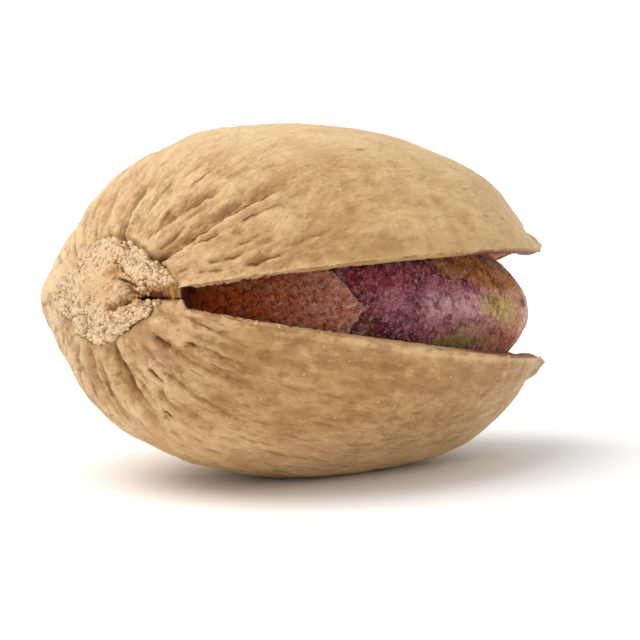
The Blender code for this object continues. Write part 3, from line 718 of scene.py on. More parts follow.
def bend_open(place, upper):
    """Bends a valve away from the seam plane about the hinge line."""
    side, opening = (1, UPPER_OPENING) if upper else (-1, LOWER_OPENING)
    from_hinge = np.array([math.cos(HINGE_TURN), -math.sin(HINGE_TURN)])
    on_hinge = np.array([math.sin(HINGE_TURN), math.cos(HINGE_TURN)])
    flat = place[..., :2] - HINGE_AT
    distance, slide = flat @ from_hinge, flat @ on_hinge
    height = place[..., 2] * side
    radius = BEND_LENGTH / opening
    turn = np.clip(distance / BEND_LENGTH, 0, 1) * opening
    straight = np.maximum(distance - BEND_LENGTH, 0)
    bent = distance > 0
    reach = np.where(bent, (radius - height) * np.sin(turn) + straight * math.cos(opening), distance)
    lifted = radius - (radius - height) * np.cos(turn) + straight * math.sin(opening)
    flat = reach[..., None] * from_hinge + slide[..., None] * on_hinge + HINGE_AT
    return np.concatenate([flat, (np.where(bent, lifted, height) * side)[..., None]], axis=-1)


def lay_down(place):
    """Turns points from the nut's own axes to the way it lies, in the part's frame."""
    turn = Matrix.Rotation(PITCH, 3, "Y") @ Matrix.Rotation(ROLL, 3, "X")
    return place @ np.array(turn).T + np.array(NUT_CENTRE)


print("The valves open by", round(math.degrees(UPPER_OPENING + LOWER_OPENING), 1), "degrees")

# %% [markdown]
# ## The shell's mesh
# Each valve is a grid of rows from the stem end to the tip and columns from seam to seam, once outside and
# once inside. The two valves share their points up to the root of each slit. Past it a rounded lip joins
# outside to inside. Every point also carries numbers for its material: where it was on the closed nut, how
# deep it is in a furrow, how far it is from the nearest dark line, and how far through the wall. A boolean
# could cut the slit too, but a grid keeps even rows, which carry the numbers and the torn lips.

# %% Rows, columns and lips
ROWS, SCAR_ROWS, MID_ROW_SPREAD = 232, 56, 0.25
OUTER_COLUMNS, INNER_COLUMNS, LIP_STEPS = 168, 24, 6
LIP_ROUND, TEAR_COARSE, TEAR_FINE = 0.08, 0.05, 0.11  # mm
CRACK_ROOT, SLIT_ROOT = 10.5, 26.6  # degrees along the nut
# along, and how much of the crack's half opening the web fills
CRACK_WEB = ((10, 0), (13, 0), (15.5, 0.1), (17, 0.75), (19, 0.97), (25, 0.985), (40, 0.985))
WEB_RAGGED, ROOT_SLANT = 0.5, 3.6  # the second is in degrees along the lower lip
SEAM_LIFT, SEAM_LIFT_FROM, SEAM_LIFT_TO = 0.02, 27, 34
SEAM_ROW_EDGE = 22
NEAR, FAR = 0, -1
GRAIN_LENGTH = 4.5  # how many times longer than wide the grain's features are
GRAIN_RADIUS, GRAIN_RUN = 5.9, 0.16  # mm, and mm for each degree along
GRAIN_LEAN = (  # around, and how far the grain turns over for each degree along
    (0, 0.02), (30, 0.12), (60, 0.1), (90, 0), (140, -0.12), (180, 0), (240, 0.15), (290, 0.12), (330, -0.02),
)
CROWN_LEAN = 12  # degrees that the upper valve's grain turns over from the shoulder to the middle


def shell_rows(around):
    """Angles along the nut for each direction: the first rows fill the scar, and one lies on its edge."""
    near_seam = bell(turn_between(np.degrees(around), 0), 8)
    edge = read_around(SCAR_EDGE, np.degrees(around)) * (1 - near_seam) + SEAM_ROW_EDGE * near_seam
    edge = np.radians(edge)
    in_scar = edge * (np.arange(SCAR_ROWS) / SCAR_ROWS)[:, None] ** 0.9
    share = np.linspace(0, 1, ROWS - SCAR_ROWS + 1)[:, None]
    spread = share - MID_ROW_SPREAD * np.sin(2 * math.pi * share) / (2 * math.pi)
    return np.concatenate([in_scar, edge + (math.pi - edge) * spread])


def grain_place(along, around):
    """Places for patterns that follow the grain: it runs from stem to tip and leans as the furrows do."""
    slope = read_around(GRAIN_LEAN, around)
    on_crown = smooth(-4, 4, around) * (1 - smooth(95, 140, around))
    crown_lean = CROWN_LEAN * smooth(45, 95, along) * on_crown
    turn = np.radians(around - slope * np.clip(along - 20, 0, 60) - crown_lean)
    x = along * GRAIN_RUN / GRAIN_LENGTH
    return np.stack([x, GRAIN_RADIUS * np.cos(turn), GRAIN_RADIUS * np.sin(turn)], axis=-1)


def valve_face(columns, upper, inner):
    """One face of a valve, from its near seam to its far seam, with all its numbers."""
    share = np.linspace(0, 1, columns + 1)
    along = shell_rows(share * math.pi if upper else -share * math.pi)
    along_degrees = np.degrees(along)
    seam_lift = SEAM_LIFT / np.maximum(round_radius(along_degrees[:, :1]), 1.2)
    seam_lift = seam_lift * (1 - smooth(SEAM_LIFT_FROM, SEAM_LIFT_TO, along_degrees[:, :1]))
    around = seam_lift + share * ((math.pi if upper else -math.pi) - seam_lift)
    if not upper:
        around = np.where((around <= 0) & (around > -1e-9), -1e-9, around)
    place = closed_shell(along, around, inner)
    around_degrees = np.degrees(around)
    points = np.zeros((*along.shape, COLUMN_COUNT))
    points[..., NUT] = place
    points[..., GRAIN] = grain_place(along_degrees, around_degrees)
    points[..., ALONG] = along_degrees
    points[..., SEAM] = np.abs(around_degrees)
    points[..., LAYER] = 1 if inner else 0
    points[..., EDGE], points[..., LINE] = 1, LINE_REACH
    if not inner:
        height, numbers = shell_relief(along_degrees, around_degrees, place)
        for column, values in numbers.items():
            points[..., column] = values
        place = place + outward(along, around) * height[..., None]
    points[..., PLACE] = place
    return points


def lip_retreat(lip, seam, root, upper):
    """How far a lip stands back from the seam: torn along the slit, nearly closed by a web in the crack."""
    along = lip[:, ALONG]
    spot = np.stack([along / 3.1, np.full(len(along), 5 * seam), np.full(len(along), upper * 3.3)], axis=-1)
    tear = TEAR_COARSE * np.abs(noise_at(spot, 1, 3)) + TEAR_FINE * np.abs(noise_at(spot * 4.4, 1, 4))
    torn = LIP_ROUND + tear * (1 - 0.6 * smooth(55, 95, along) - 0.35 * smooth(100, 140, along))
    if seam != NEAR:
        return torn * smooth(along[root], along[root] + 8, along)
    opening = np.abs(bend_open(lip[:, PLACE] * (1, 1, 0), upper)[:, 2])
    ragged = WEB_RAGGED * np.abs(noise_at(spot * 4, 1, 5))
    ragged = ragged * (1 - 0.9 * smooth(21, 24, along))
    web = -opening * np.interp(along, *zip(*CRACK_WEB)) * (1 - ragged)
    in_slit = smooth(SLIT_ROOT - 0.5, SLIT_ROOT + (0.5 if upper else ROOT_SLANT), along)
    return torn * in_slit + web * (1 - in_slit)


print("Outer grid of one valve:", ROWS + 1, "by", OUTER_COLUMNS + 1, "points")

# %% [markdown]
# A lip is a strip of a few points across, drawn as half a round between the outer and the inner edge. A
# Bevel modifier would round the lip evenly, and this one is torn.

# %% One valve
def valve_points(upper, roots):
    """A valve's outer face, inner face and lips, bent open and laid down."""
    side = 1 if upper else -1
    outer = valve_face(OUTER_COLUMNS, upper, inner=False)
    inner = valve_face(INNER_COLUMNS, upper, inner=True)
    lips = {}
    for seam, root in roots.items():
        retreat = lip_retreat(outer[:, seam], seam, root, upper)
        for face in (outer, inner):
            face[root + 1 :, seam, 2] += side * retreat[root + 1 :]
        share = (np.arange(1, LIP_STEPS) / LIP_STEPS)[None, :, None]
        strip = outer[:, seam, None] * (1 - share) + inner[:, seam, None] * share
        flat = np.clip(retreat, 0, LIP_ROUND)
        flat[: root + 1] = 0
        strip[..., 2] -= side * flat[:, None] * np.sin(math.pi * share[..., 0])
        strip[..., EDGE], strip[..., LINE], strip[..., DARK] = 1, LINE_REACH, 0
        lips[seam] = strip
    outer[-1] = outer[-1, NEAR]
    inner[-1] = inner[-1, NEAR]
    points = {"outer": outer, "inner": inner, **lips}
    for face in points.values():
        face[..., PLACE] = lay_down(bend_open(face[..., PLACE], upper))
    return points


class NumberedMesh:
    """Points with numbers and faces between them, so that grids can share points along an edge."""

    def __init__(self, width):
        self.points = np.empty((0, width))
        self.faces = []

    def add(self, points):
        first = len(self.points)
        self.points = np.concatenate([self.points, points.reshape(-1, points.shape[-1])])
        return np.arange(first, len(self.points)).reshape(points.shape[:-1])

    def share(self, kept, other, where):
        self.points[kept[where]] = 0.5 * (self.points[kept[where]] + self.points[other[where]])
        other[where] = kept[where]

    def grid(self, numbers, turned):
        """Four-sided faces over a grid of points; where two corners are one point, a triangle."""
        corners = np.stack([numbers[:-1, :-1], numbers[1:, :-1], numbers[1:, 1:], numbers[:-1, 1:]], axis=-1)
        for face in corners.reshape(-1, 4).tolist():
            kept = [number for corner, number in enumerate(face) if number != face[corner - 1]]
            if len(kept) > 2:
                self.faces.append(kept[::-1] if turned else kept)

    def mesh(self, name, kept):
        """The mesh, with columns of its points kept under names."""
        used = np.unique(np.concatenate([np.array(face) for face in self.faces]))
        renumbered = np.zeros(len(self.points), int)
        renumbered[used] = np.arange(len(used))
        mesh = bpy.data.meshes.new(name)
        places = (self.points[used][:, PLACE] * MM).tolist()
        mesh.from_pydata(places, [], [[int(renumbered[n]) for n in face] for face in self.faces])
        mesh.shade_smooth()
        for title, columns in kept.items():
            kind, part = ("FLOAT_VECTOR", "vector") if title in VECTORS else ("FLOAT", "value")
            values = self.points[used][:, columns].ravel()
            mesh.attributes.new(title, kind, "POINT").data.foreach_set(part, values)
        return mesh


print("A lip is", LIP_STEPS, "strips wide")

# %% [markdown]
# Both valves go into one mesh. The lips' points on a slit's root row are shared as well, which closes the
# wedge. Merging by distance would also join points that only lie close.

# %% The shell as one mesh
SHELL_KEEPS = {"nut": NUT, "grain": GRAIN} | {
    name: ALONG + number
    for number, name in enumerate("along seam layer scar crumb stain edge line dark fold smudge".split())
}


def make_shell():
    near_rows, far_rows = np.degrees(shell_rows(np.array([0, math.pi]))).T
    roots = {NEAR: int(np.argmax(near_rows >= CRACK_ROOT)), FAR: int(np.argmax(far_rows >= FAR_SLIT_START))}
    shell = NumberedMesh(COLUMN_COUNT)
    upper, lower = (
        {name: shell.add(points) for name, points in valve_points(is_upper, roots).items()}
        for is_upper in (True, False)
    )
    for name in ("outer", "inner"):
        for valve in (upper, lower):
            valve[name][0, :] = valve[name][0, 0]
            valve[name][-1, :] = valve[name][-1, 0]
        shell.share(upper[name], lower[name], (slice(0, 1), slice(None)))
        for seam, root in roots.items():
            shell.share(upper[name], lower[name], (slice(1, root + 1), seam))
    for seam, root in roots.items():
        shell.share(upper[seam], lower[seam], slice(root, root + 1))
    for valve, is_upper in ((upper, True), (lower, False)):
        valve[FAR][-1] = valve[NEAR][-1]
        shell.grid(valve["outer"], turned=not is_upper)
        shell.grid(valve["inner"], turned=is_upper)
        for seam, root in roots.items():
            edges = valve["outer"][root:, seam, None], valve[seam][root:], valve["inner"][root:, seam, None]
            shell.grid(np.concatenate(edges, axis=1), turned=is_upper == (seam == NEAR))
    return shell.mesh("nutshell", SHELL_KEEPS)


nutshell = add_thing("nutshell", make_shell())
report(nutshell)

# %% [markdown]
# ## The shell's finish
# Roasted pistachio shell is a dry cream tan. Clouds of warmer and paler tone drift over it, thin streaks
# follow the grain, and the upper lip near the stem is pinkish and smooth. Painted shade darkens what lies
# low and the near flank, and painted light brightens the ridges, the back, the top and the bottom. The scar
# is paler, with painted shade between its crumbs. All of it is mixed from noise and the numbers stored in
# the mesh. A pattern that the relief, the crumbs or the kernel need as well is a function of its own. An
# image could be wrapped round a shell, but would stretch at both ends.

# %% Patterns
def drift(place, scale, amount):
    """The places, each moved a little by noise."""
    push = place.board.vector("SUBTRACT", place.noise(scale, out=1), (0.5, 0.5, 0.5))
    return place.board.vector("ADD", place, push.stretch(amount, amount, amount))


def crumb_edges(nut):
    """How far a place in the scar is from the cracks between its crumbs, from 0 to about 0.5."""
    return drift(nut, 3.2, 0.3).cells(4, "DISTANCE_TO_EDGE")


def crumb_patches(nut):
    return nut.noise(1.7).rise(0.38, 0.6)


def mottling(nut):
    return nut.stretch(0.6).noise(1.6, 4, 0.62)


def clear_of_slit(sideways):
    """0 at the slit's end of the scar and 1 on the rest of it."""
    return sideways.rise(-0.9, 0.3)


def streaks(place, scale, low, high):
    """Short fibres that lie in all directions, as 0 to 1: three stretched noises, each turned another way."""
    found = None
    for number, turn in enumerate(((0, 0.5, 0.4), (0, -0.7, 1), (0.4, 1.4, -0.6))):
        sockets = {"Vector": place, "Rotation": turn}
        turned = place.board.add("ShaderNodeVectorRotate", {"rotation_type": "EULER_XYZ"}, sockets)
        layer = turned.stretch(0.2).noise(scale * (1 + 0.15 * number), 3, 0.7).rise(low, high)
        found = found.math("MAXIMUM", layer) if found else layer
    return found


print("Both trees share", drift.__name__, crumb_edges.__name__, "and", mottling.__name__)

# %% Shell finish: shared patterns
class ShellFinish(Finish):
    """The shell's material, with the numbers and patterns that several of its parts need."""

    def __init__(self):
        super().__init__("nutshell", 0.55, gloss=0.3)
        for name in "nut grain along seam layer scar crumb stain edge line dark smudge height".split():
            setattr(self, name, self.read(name))
        _, self.sideways, self.upward = self.nut.parts()
        self.below = self.upward.rise(0.3, -0.3)
        self.streak = self.grain.noise(1.2, 4, 0.6)
        self.fine = self.grain.stretch(1.4).noise(4.6, 4, 0.65)
        self.mottle = mottling(self.nut)
        self.grit = self.nut.noise(6.5, 3, 0.65)
        dashes = self.grain.stretch(1.3)
        chosen = self.add("ShaderNodeSeparateColor", {}, {0: dashes.cells(2.4, out=1)}).rise(0.62, 0.66)
        self.dash = dashes.cells(2.4).rise(0.24, 0.06) * chosen * self.streak.rise(0.45, 0.6)
        # The furrows' dark lines: painted shade in their narrow bottoms, broken up by noise.
        self.frayed = abs(self.line + (self.grain.stretch(2).noise(9, 3, 0.6) - 0.5) * 0.16)
        broken = self.nut.noise(3, 2).rise(0.4, 0.6)
        self.slit = self.frayed.rise(0.055, 0) * self.dark.rise(0.2, 0.8) * (broken * 0.65 + 0.35)
        patchy = crumb_patches(self.nut) * self.crumb
        # Painted shade in the cracks between the scar's crumbs.
        self.gaps = crumb_edges(self.nut).rise(0.075, 0) * self.grit.rise(0.35, 0.6) * patchy
        pores = self.nut.cells(3).rise(0.2, 0.08) * self.nut.noise(1.4, 2).rise(0.45, 0.6)
        self.pores = pores * clear_of_slit(self.sideways)
        rim = abs(self.edge + (self.grit - 0.5) * 0.1).rise(0.05, 0)
        self.rim = rim * (self.nut.noise(0.9, 2).rise(0.4, 0.54) * 0.6 + 0.4)
        # The torn wall at the crack's root, which the finish paints almost black as its shadow.
        self.torn = self.layer.rise(0.05, 0.3) * (self.along + (self.grit - 0.5) * 4).rise(31.5, 29.5)


shell_finish = ShellFinish()
print("Patterns on the shell add up to", len(shell_finish.tree.nodes), "nodes")

# %% Tones of the shell's body
def paint_clouds(shell):
    """The cream tan ground, in clouds, with streaks, mottling, fine grain and pale flecks of painted
    highlight.
    """
    cloud = shell.nut.noise(0.33, 3, 0.55)
    body = shell.mix(cloud.rise(0.36, 0.64), paint(206, 171, 121), paint(218, 187, 138))
    calm = shell.along.rise(110, 60) * 0.4 + 0.6
    body = body.paint(shell.streak.rise(0.48, 0.72) * calm * 0.5, 190, 148, 96)
    body = body.paint(shell.mottle.rise(0.54, 0.34) * calm * 0.55, 184, 140, 90)
    body = body.paint(shell.fine.rise(0.48, 0.3) * 0.35, 160, 114, 68)
    # Painted highlights: pale flecks on the fine grain, where its ridges would catch the light.
    body = body.paint(shell.fine.rise(0.56, 0.72) * 0.3, 236, 208, 166)
    return body


def tone_by_place(shell, body):
    """Pinker by the slit; paler at the back as painted light; darker and browner on the near flank and under
    the lower lip as painted shade; a painted highlight along the lower lip.
    """
    pink = shell.nut.noise(0.6, 2).rise(0.5, 0.64) * shell.along.rise(80, 30)
    body = body.paint(pink * 0.4, 218, 172, 140)
    # Painted light: the back of the stem half, turned towards the key light, is painted paler.
    back = shell.sideways.rise(0.5, 3) * shell.along.rise(70, 40)
    body = body.paint(back * 0.6, 236, 206, 160)
    # Painted shade: the near flank, turned away from the key light, is tinted darker, and browner below the
    # seam.
    flank = (-shell.sideways).rise(2.4, 4.8) * shell.along.rise(28, 60)
    body = body.tint(flank * (1 - shell.below), 0.88, 0.83, 0.74)
    body = body.tint(flank * shell.below, 0.8, 0.71, 0.6)
    # Painted shade just below the edge of the lower lip.
    shade_under_lip = shell.below * shell.along.rise(34, 50) * shell.seam.rise(26, 10)
    body = body.tint(shade_under_lip * shell.seam.rise(4, 7), 0.9, 0.84, 0.74)
    lip = shell.seam.rise(4, 1.5) * shell.along.rise(24, 28) * shell.along.rise(80, 58)
    body = body.paint(lip * (1 - shell.below) * 0.5, 226, 184, 150)
    low_cloud = shell.nut.stretch(0.45).noise(1, 4, 0.65)
    body = body.paint(low_cloud.rise(0.53, 0.38) * shell.below * 0.55, 164, 116, 68)
    # Painted highlight: a paler band along the lower lip's edge, which faces up to the light.
    lit_lower_lip = shell.below * shell.seam.rise(5, 2.5) * shell.along.rise(40, 60)
    body = body.paint(lit_lower_lip * 0.5, 226, 190, 136)
    return body


print("Tones:", paint_clouds.__name__, "then", tone_by_place.__name__)

# %% Weathering and painted light and shade on the shell's body
def weather_and_painted_light(shell, body):
    """Painted shade in what lies low and painted highlights on what stands high, brown marks that partly
    paint furrow shade, blotches, a paler bottom and top as painted light, hairlines and the furrows' dark
    lines as painted shade.
    """
    # Painted shade in what lies low and painted highlights on what stands high, read from the tree's height.
    body = body.paint(shell.height.rise(0.01, -0.1) * 0.5, 158, 112, 62)
    body = body.paint(shell.height.rise(0.03, 0.1) * 0.35, 238, 208, 168)
    # Brown marks, the first three of them painted shade in the deepest furrows.
    body = body.paint(shell.smudge * (shell.grit + shell.smudge * 0.2).rise(0.25, 0.6) * 0.9, 140, 94, 50)
    # Painted shade in the deepest hollows.
    body = body.paint(shell.height.rise(-0.11, -0.22) * 0.8, 88, 48, 24)
    blotch = shell.nut.stretch(0.55).noise(2.6, 4, 0.7)
    strong = shell.along.rise(105, 75) * (1 - shell.below) * 0.6 + shell.below * 0.9 + 0.35
    strong = strong * (shell.upward.rise(4.8, 3.6) * 0.75 + 0.25)
    body = body.paint(blotch.rise(0.49, 0.34) * strong * 0.5, 150, 104, 60)
    body = body.paint(blotch.rise(0.53, 0.68) * strong * 0.25, 232, 198, 150)
    # Painted light: paler towards the bottom, as light from the white table, and a painted highlight on the
    # top.
    body = body.paint(shell.upward.rise(-2.8, -4.6) * 0.4, 232, 192, 142)
    body = body.paint(shell.upward.rise(3.4, 4.8) * 0.2, 242, 212, 172)
    hairline = shell.grain.stretch(1.2).noise(3.4, 3, 0.55).rise(0.56, 0.66)
    hairline = hairline * shell.along.rise(26, 34) * shell.along.rise(118, 90)
    body = body.paint(hairline * (shell.below * 0.45 + 0.1), 140, 96, 54)
    body = body.paint(shell.dash * 0.55, 132, 88, 44)
    speck = shell.nut.cells(1.5).rise(0.08, 0.04)
    body = body.paint(speck * 0.5, 244, 220, 180)
    # Painted shade: a brown band round each furrow's line, then the dark line itself.
    body = body.paint(shell.frayed.rise(0.17, 0) * shell.dark * 0.55, 160, 112, 62)
    body = body.paint(shell.slit * 0.75, 104, 64, 32)
    return body


print("The shading darkens what lies low, by the tree's own height")

# %% Scar, edges and inside
def paint_scar(shell):
    """The crumbly crust of the scar, with painted shade in its gaps and hollows, pores, brown cracks and a
    stained ledge painted darker towards its bottom as shade.
    """
    crust = shell.mix(shell.nut.noise(2, 3), paint(212, 176, 134), paint(238, 212, 176))
    crust = crust.paint((1 - shell.crumb) * 0.8, 202, 162, 112)
    # Painted shade between the crumbs, as lines along their cracks and as dark brown specks.
    crust = crust.paint(shell.gaps * 0.6, 150, 104, 60)
    crust = crust.paint(shell.grit.rise(0.46, 0.34) * (shell.crumb * 0.6 + 0.25), 124, 80, 44)
    crust = crust.paint(shell.grit.rise(0.56, 0.74) * 0.5, 240, 216, 178)
    # Painted shade in the scar's low places.
    crust = crust.paint(shell.height.rise(-0.01, -0.12) * 0.5, 170, 122, 74)
    crust = crust.paint(shell.pores * shell.crumb * 0.85, 116, 72, 38)
    crust = crust.paint(shell.stain * (shell.grit + 0.1).rise(0.2, 0.6) * 0.75, 176, 126, 60)
    # The ledge's wall: stained brown, and painted darker towards its bottom as shade under the upper lip.
    wedge = shell.upward - (shell.sideways + 2.6) * 0.2 + (shell.grit - 0.5) * 0.3
    wall = shell.mix(wedge.rise(0.25, 0.13), paint(178, 128, 72), paint(96, 42, 20))
    wall = wall.tint(shell.grit.rise(0.52, 0.38) * 0.6, 0.42, 0.34, 0.28)
    crust = shell.mix(shell.stain.rise(1, 1.3), crust, wall)
    # Painted shade in the deepest cracks and pits, away from the ledge.
    crust = crust.paint(shell.height.rise(-0.1, -0.3) * shell.stain.rise(1.4, 1), 76, 38, 18)
    return crust


def paint_edges(shell, body, crust):
    """The scar laid over the body, painted shadow above its edge, its dark rim, then the inner face with
    painted shade and glow, and the torn wall painted near black as shadow.
    """
    colour = shell.mix(shell.scar.rise(0.25, 0.75), body, crust)
    # Painted shadow in the dip just above the scar's edge, under the overhanging shoulder.
    valley_shade = abs(shell.edge - 0.1).rise(0.3, 0.02) * (1 - shell.scar) * shell.upward.rise(0.5, 1.5)
    colour = colour.paint(valley_shade * 0.4, 150, 104, 60)
    colour = colour.paint(shell.rim * 0.8, 104, 64, 32)
    # The inner face, and the upper lip's strip near the tip: brown, painted darker as shade inside the shell,
    # and lighter and more orange towards the tip as a painted glow of light through the thin wall.
    inside = shell.mix(shell.along.rise(160, 180), paint(126, 58, 14), paint(184, 108, 42))
    under = shell.upward.rise(-0.05, 0) * shell.along.rise(106, 122) * shell.layer.rise(0.03, 0.22)
    colour = shell.mix(under.math("MAXIMUM", shell.layer.rise(0.45, 0.9)), colour, inside)
    # Painted shadow: the torn wall at the crack's root, nearly black brown.
    colour = shell.mix(shell.torn, colour, shell.mix(shell.grit, paint(58, 12, 6), paint(96, 34, 14)))
    return colour


def bumps(shell):
    """Heights in millimetres, finer than the mesh: one for the body and one for the scar."""
    pinholes = shell.grain.stretch(2).cells(4).rise(0.42, 0.18)
    skin = shell.fine * 0.08 + shell.mottle * 0.09 + shell.grit * 0.025
    skin = skin - pinholes * 0.02 - shell.slit * 0.07 - shell.dash * 0.03
    skin = skin - shell.smudge * shell.grit * 0.05
    grains = drift(shell.nut, 4, 0.2).cells(7) ** 2
    rough = grains * -0.1 * shell.crumb + shell.grit * 0.1
    rough = rough - shell.rim * 0.05 - shell.gaps * 0.04 - shell.pores * 0.05
    return shell.scar.choose(skin, rough)


def make_shell_finish(shell):
    body = weather_and_painted_light(shell, tone_by_place(shell, paint_clouds(shell)))
    colour = paint_edges(shell, body, paint_scar(shell))
    shell.feed(shell.shader, "Roughness", shell.scar * 0.25 + shell.torn * 0.5 + 0.5)
    return shell.end(colour, bumps(shell))


nutshell_finish = make_shell_finish(shell_finish)
print("Shell finish has", len(nutshell_finish.node_tree.nodes), "nodes")

# %% [markdown]
# ## Wrinkles, pits and crumbs in the surface
# The smooth mesh gets its fine relief from a tree. Long low wrinkles and shallow grooves follow the grain,
# among small soft bumps and a few pits, and all of these are strongest on the near shoulder. In the scar
# the surface breaks up into crumbs with cracks between them. The tree also stores how deep each place lies,
# for the colours. Bump alone wouldn't show in the exported mesh, so it is left for what is finer than the
# mesh.

# %% Fine relief of the shell
def add_relief(thing, sizes):
    board = ShapeBoard("fine relief", sizes)
    size = board.size
    nut, grain, along, seam, layer = board.read("nut grain along seam layer")
    scar, crumb, fold = board.read("scar crumb fold")
    grain = drift(grain, 0.5, 0.9)
    outside = layer.rise(0.12, 0)
    shoulder = along.rise(16, 30) * along.rise(110, 60) * nut.parts()[1].rise(2.5, 0)
    off_lip = seam.rise(0, 3) * 0.75 + 0.25
    body = outside * (1 - scar) * along.rise(30, 60).choose(1, off_lip)
    wrinkle = grain.noise(1.9, 4, 0.6) - 0.5
    groove = abs(grain.noise(1.3, 2, 0.6) - 0.5).rise(0.03, 0)
    pit = grain.stretch(1.6).cells(1.5).rise(0.3, 0.05) * nut.noise(0.9).rise(0.58, 0.78)
    height = size("Wrinkle height") * wrinkle * (shoulder * 0.8 + 0.4)
    height = height + size("Mottle height") * (mottling(nut) - 0.5) * (shoulder * 0.5 + 0.5)
    height = height - size("Groove depth") * groove * (shoulder * 0.9 + 0.1)
    height = (height - size("Pit depth") * pit) * body
    crumbs = (crumb_edges(nut).rise(0, 0.26) - 0.6) * (crumb_patches(nut) * 0.8 + 0.2)
    lumps = nut.noise(1.1, 3, 0.6) - 0.5
    holes = nut.noise(3.4, 2, 0.6).rise(0.62, 0.74)
    rough = size("Crumb height") * crumbs + size("Lump height") * lumps
    rough = rough - size("Hole depth") * holes
    height = height + rough * crumb * outside
    geometry = board.lift(size("Geometry"), height)
    return board.grow(thing, board.store(geometry, "height", height + fold * 0.6))


add_relief(nutshell, {
    "Wrinkle height": 0.19, "Mottle height": 0.2, "Groove depth": 0.03, "Pit depth": 0.05,
    "Crumb height": 0.09, "Lump height": 0.24, "Hole depth": 0.13, "Finish": nutshell_finish,
})
report(nutshell)

# %% [markdown]
# Relief may lift a point just past the solids' box, and the belly has to stay flat where the nut rests.
# Holding every point inside the box does both.

# %% Keep a piece in the part's box
def keep_in_box(thing):
    places = places_of(thing)
    held = np.clip(places, *CAD_BOX)
    thing.data.vertices.foreach_set("co", held.ravel())
    thing.data.update()
    print(thing.name, "moved by at most", round(float(np.abs(held - places).max()) / MM, 3), "mm")


keep_in_box(nutshell)

# %% [markdown]
# ## The kernel's finish
# A pistachio kernel wears a thin mauve skin under a web of pale fibres. Near the tip the skin is worn
# through, and the yellow-green seed shows. Each patch, bare, paler or darker, is an oval in the kernel's two
# angles with a noisy edge. The fibres are noises stretched long and thin, each turned another way. Real hairs
# are laid over them further down. Ovals are chosen because each can be moved and coloured alone.

# %% Kernel finish
KERNEL_PATCHES = (  # along and around at the middle, half sizes, strength, colour
    (112, 3, 27, 14, 0.8, (196, 122, 140)),
    (115, 4, 18, 7, 0.85, (236, 184, 186)),
    (142, 0, 16, 60, 0.9, (226, 172, 128)),
    (164, 0, 17, 180, 0.95, (252, 220, 190)),
    (122, -17, 14, 13, 0.85, (184, 134, 86)),
    (133, 3, 11, 8.5, 0.9, (216, 190, 96)),
    (126, 28, 19, 11, 1, (204, 130, 8)),
    (132, -26, 12, 12, 0.9, (196, 118, 76)),
    # The next spot and the last are darker; the last lies just past the torn skin's edge.
    (148, 12, 4, 6, 0.9, (110, 64, 50)),
    (113, -19, 8, 6, 0.95, (156, 128, 28)),
    (81, -9, 6, 7, 0.9, (124, 62, 22)),
)


def make_kernel_finish():
    board = Finish("kernel_skin", 0.7, gloss=0.25)
    nut, spot = board.read("nut spot")
    along, around, _ = spot.parts()
    ragged = (nut.noise(1.5, 5, 0.75) - 0.5) * 2.6
    cloud = nut.stretch(0.45).noise(0.9, 4, 0.65)
    skin = board.mix(cloud.rise(0.38, 0.64), paint(108, 12, 26), paint(164, 46, 64))
    for along_at, around_at, half_along, half_around, strength, levels in KERNEL_PATCHES:
        away = (((along - along_at) / half_along) ** 2 + ((around - around_at) / half_around) ** 2) ** 0.5
        skin = skin.paint((away + ragged).rise(1.25, 0.75) * strength, *levels)
    blotch = nut.stretch(0.7).noise(2.2, 4, 0.7)
    worn = blotch.rise(0.53, 0.38) * (along.rise(124, 150) * -0.55 + 0.95)
    skin = skin.tint(worn, 0.36, 0.22, 0.26)
    pocked = nut.noise(5.5, 4, 0.75).rise(0.47, 0.3)
    skin = skin.tint(pocked * 0.75, 0.42, 0.3, 0.3)
    pale = (nut.noise(1.1, 3) * 1.2).rise(0.3, 1) * along.rise(64, 92)
    threads = streaks(nut, 7, 0.55, 0.64)
    skin = skin.paint(blotch.rise(0.5, 0.66) * pale * 0.7, 214, 160, 158)
    skin = skin.paint(threads * (pale * 0.4 + 0.5), 238, 174, 172)
    return board.end(skin, nut.noise(6, 4, 0.75) * 0.12 + threads * 0.05 - pocked * 0.05)


kernel_finish = make_kernel_finish()
print(len(KERNEL_PATCHES), "patches")

# %% [markdown]
# ## The kernel
# The kernel is a rounded, slightly bent seed, and its shape follows a short rule, so a tree builds it
# whole: a ball whose points are moved by the same kind of sum as the shell. The ball's poles become the
# stem end and the tip. A low noise makes it a little uneven, as a dried seed is.

# %% Kernel shape
def place_in_nut(board, geometry, place):
    """Moves points to places given in the nut's own axes, in millimetres, and keeps those as a vector."""
    geometry = board.store(geometry, "nut", place)
    sockets = {"Vector": board.read("nut"), "Rotation": (ROLL, PITCH, 0)}
    turned = board.add("ShaderNodeVectorRotate", {"rotation_type": "EULER_XYZ"}, sockets)
    placed = board.vector("ADD", turned, tuple(NUT_CENTRE)).stretch(MM, MM, MM)
    return board.add("GeometryNodeSetPosition", {}, {"Geometry": geometry, "Position": placed})


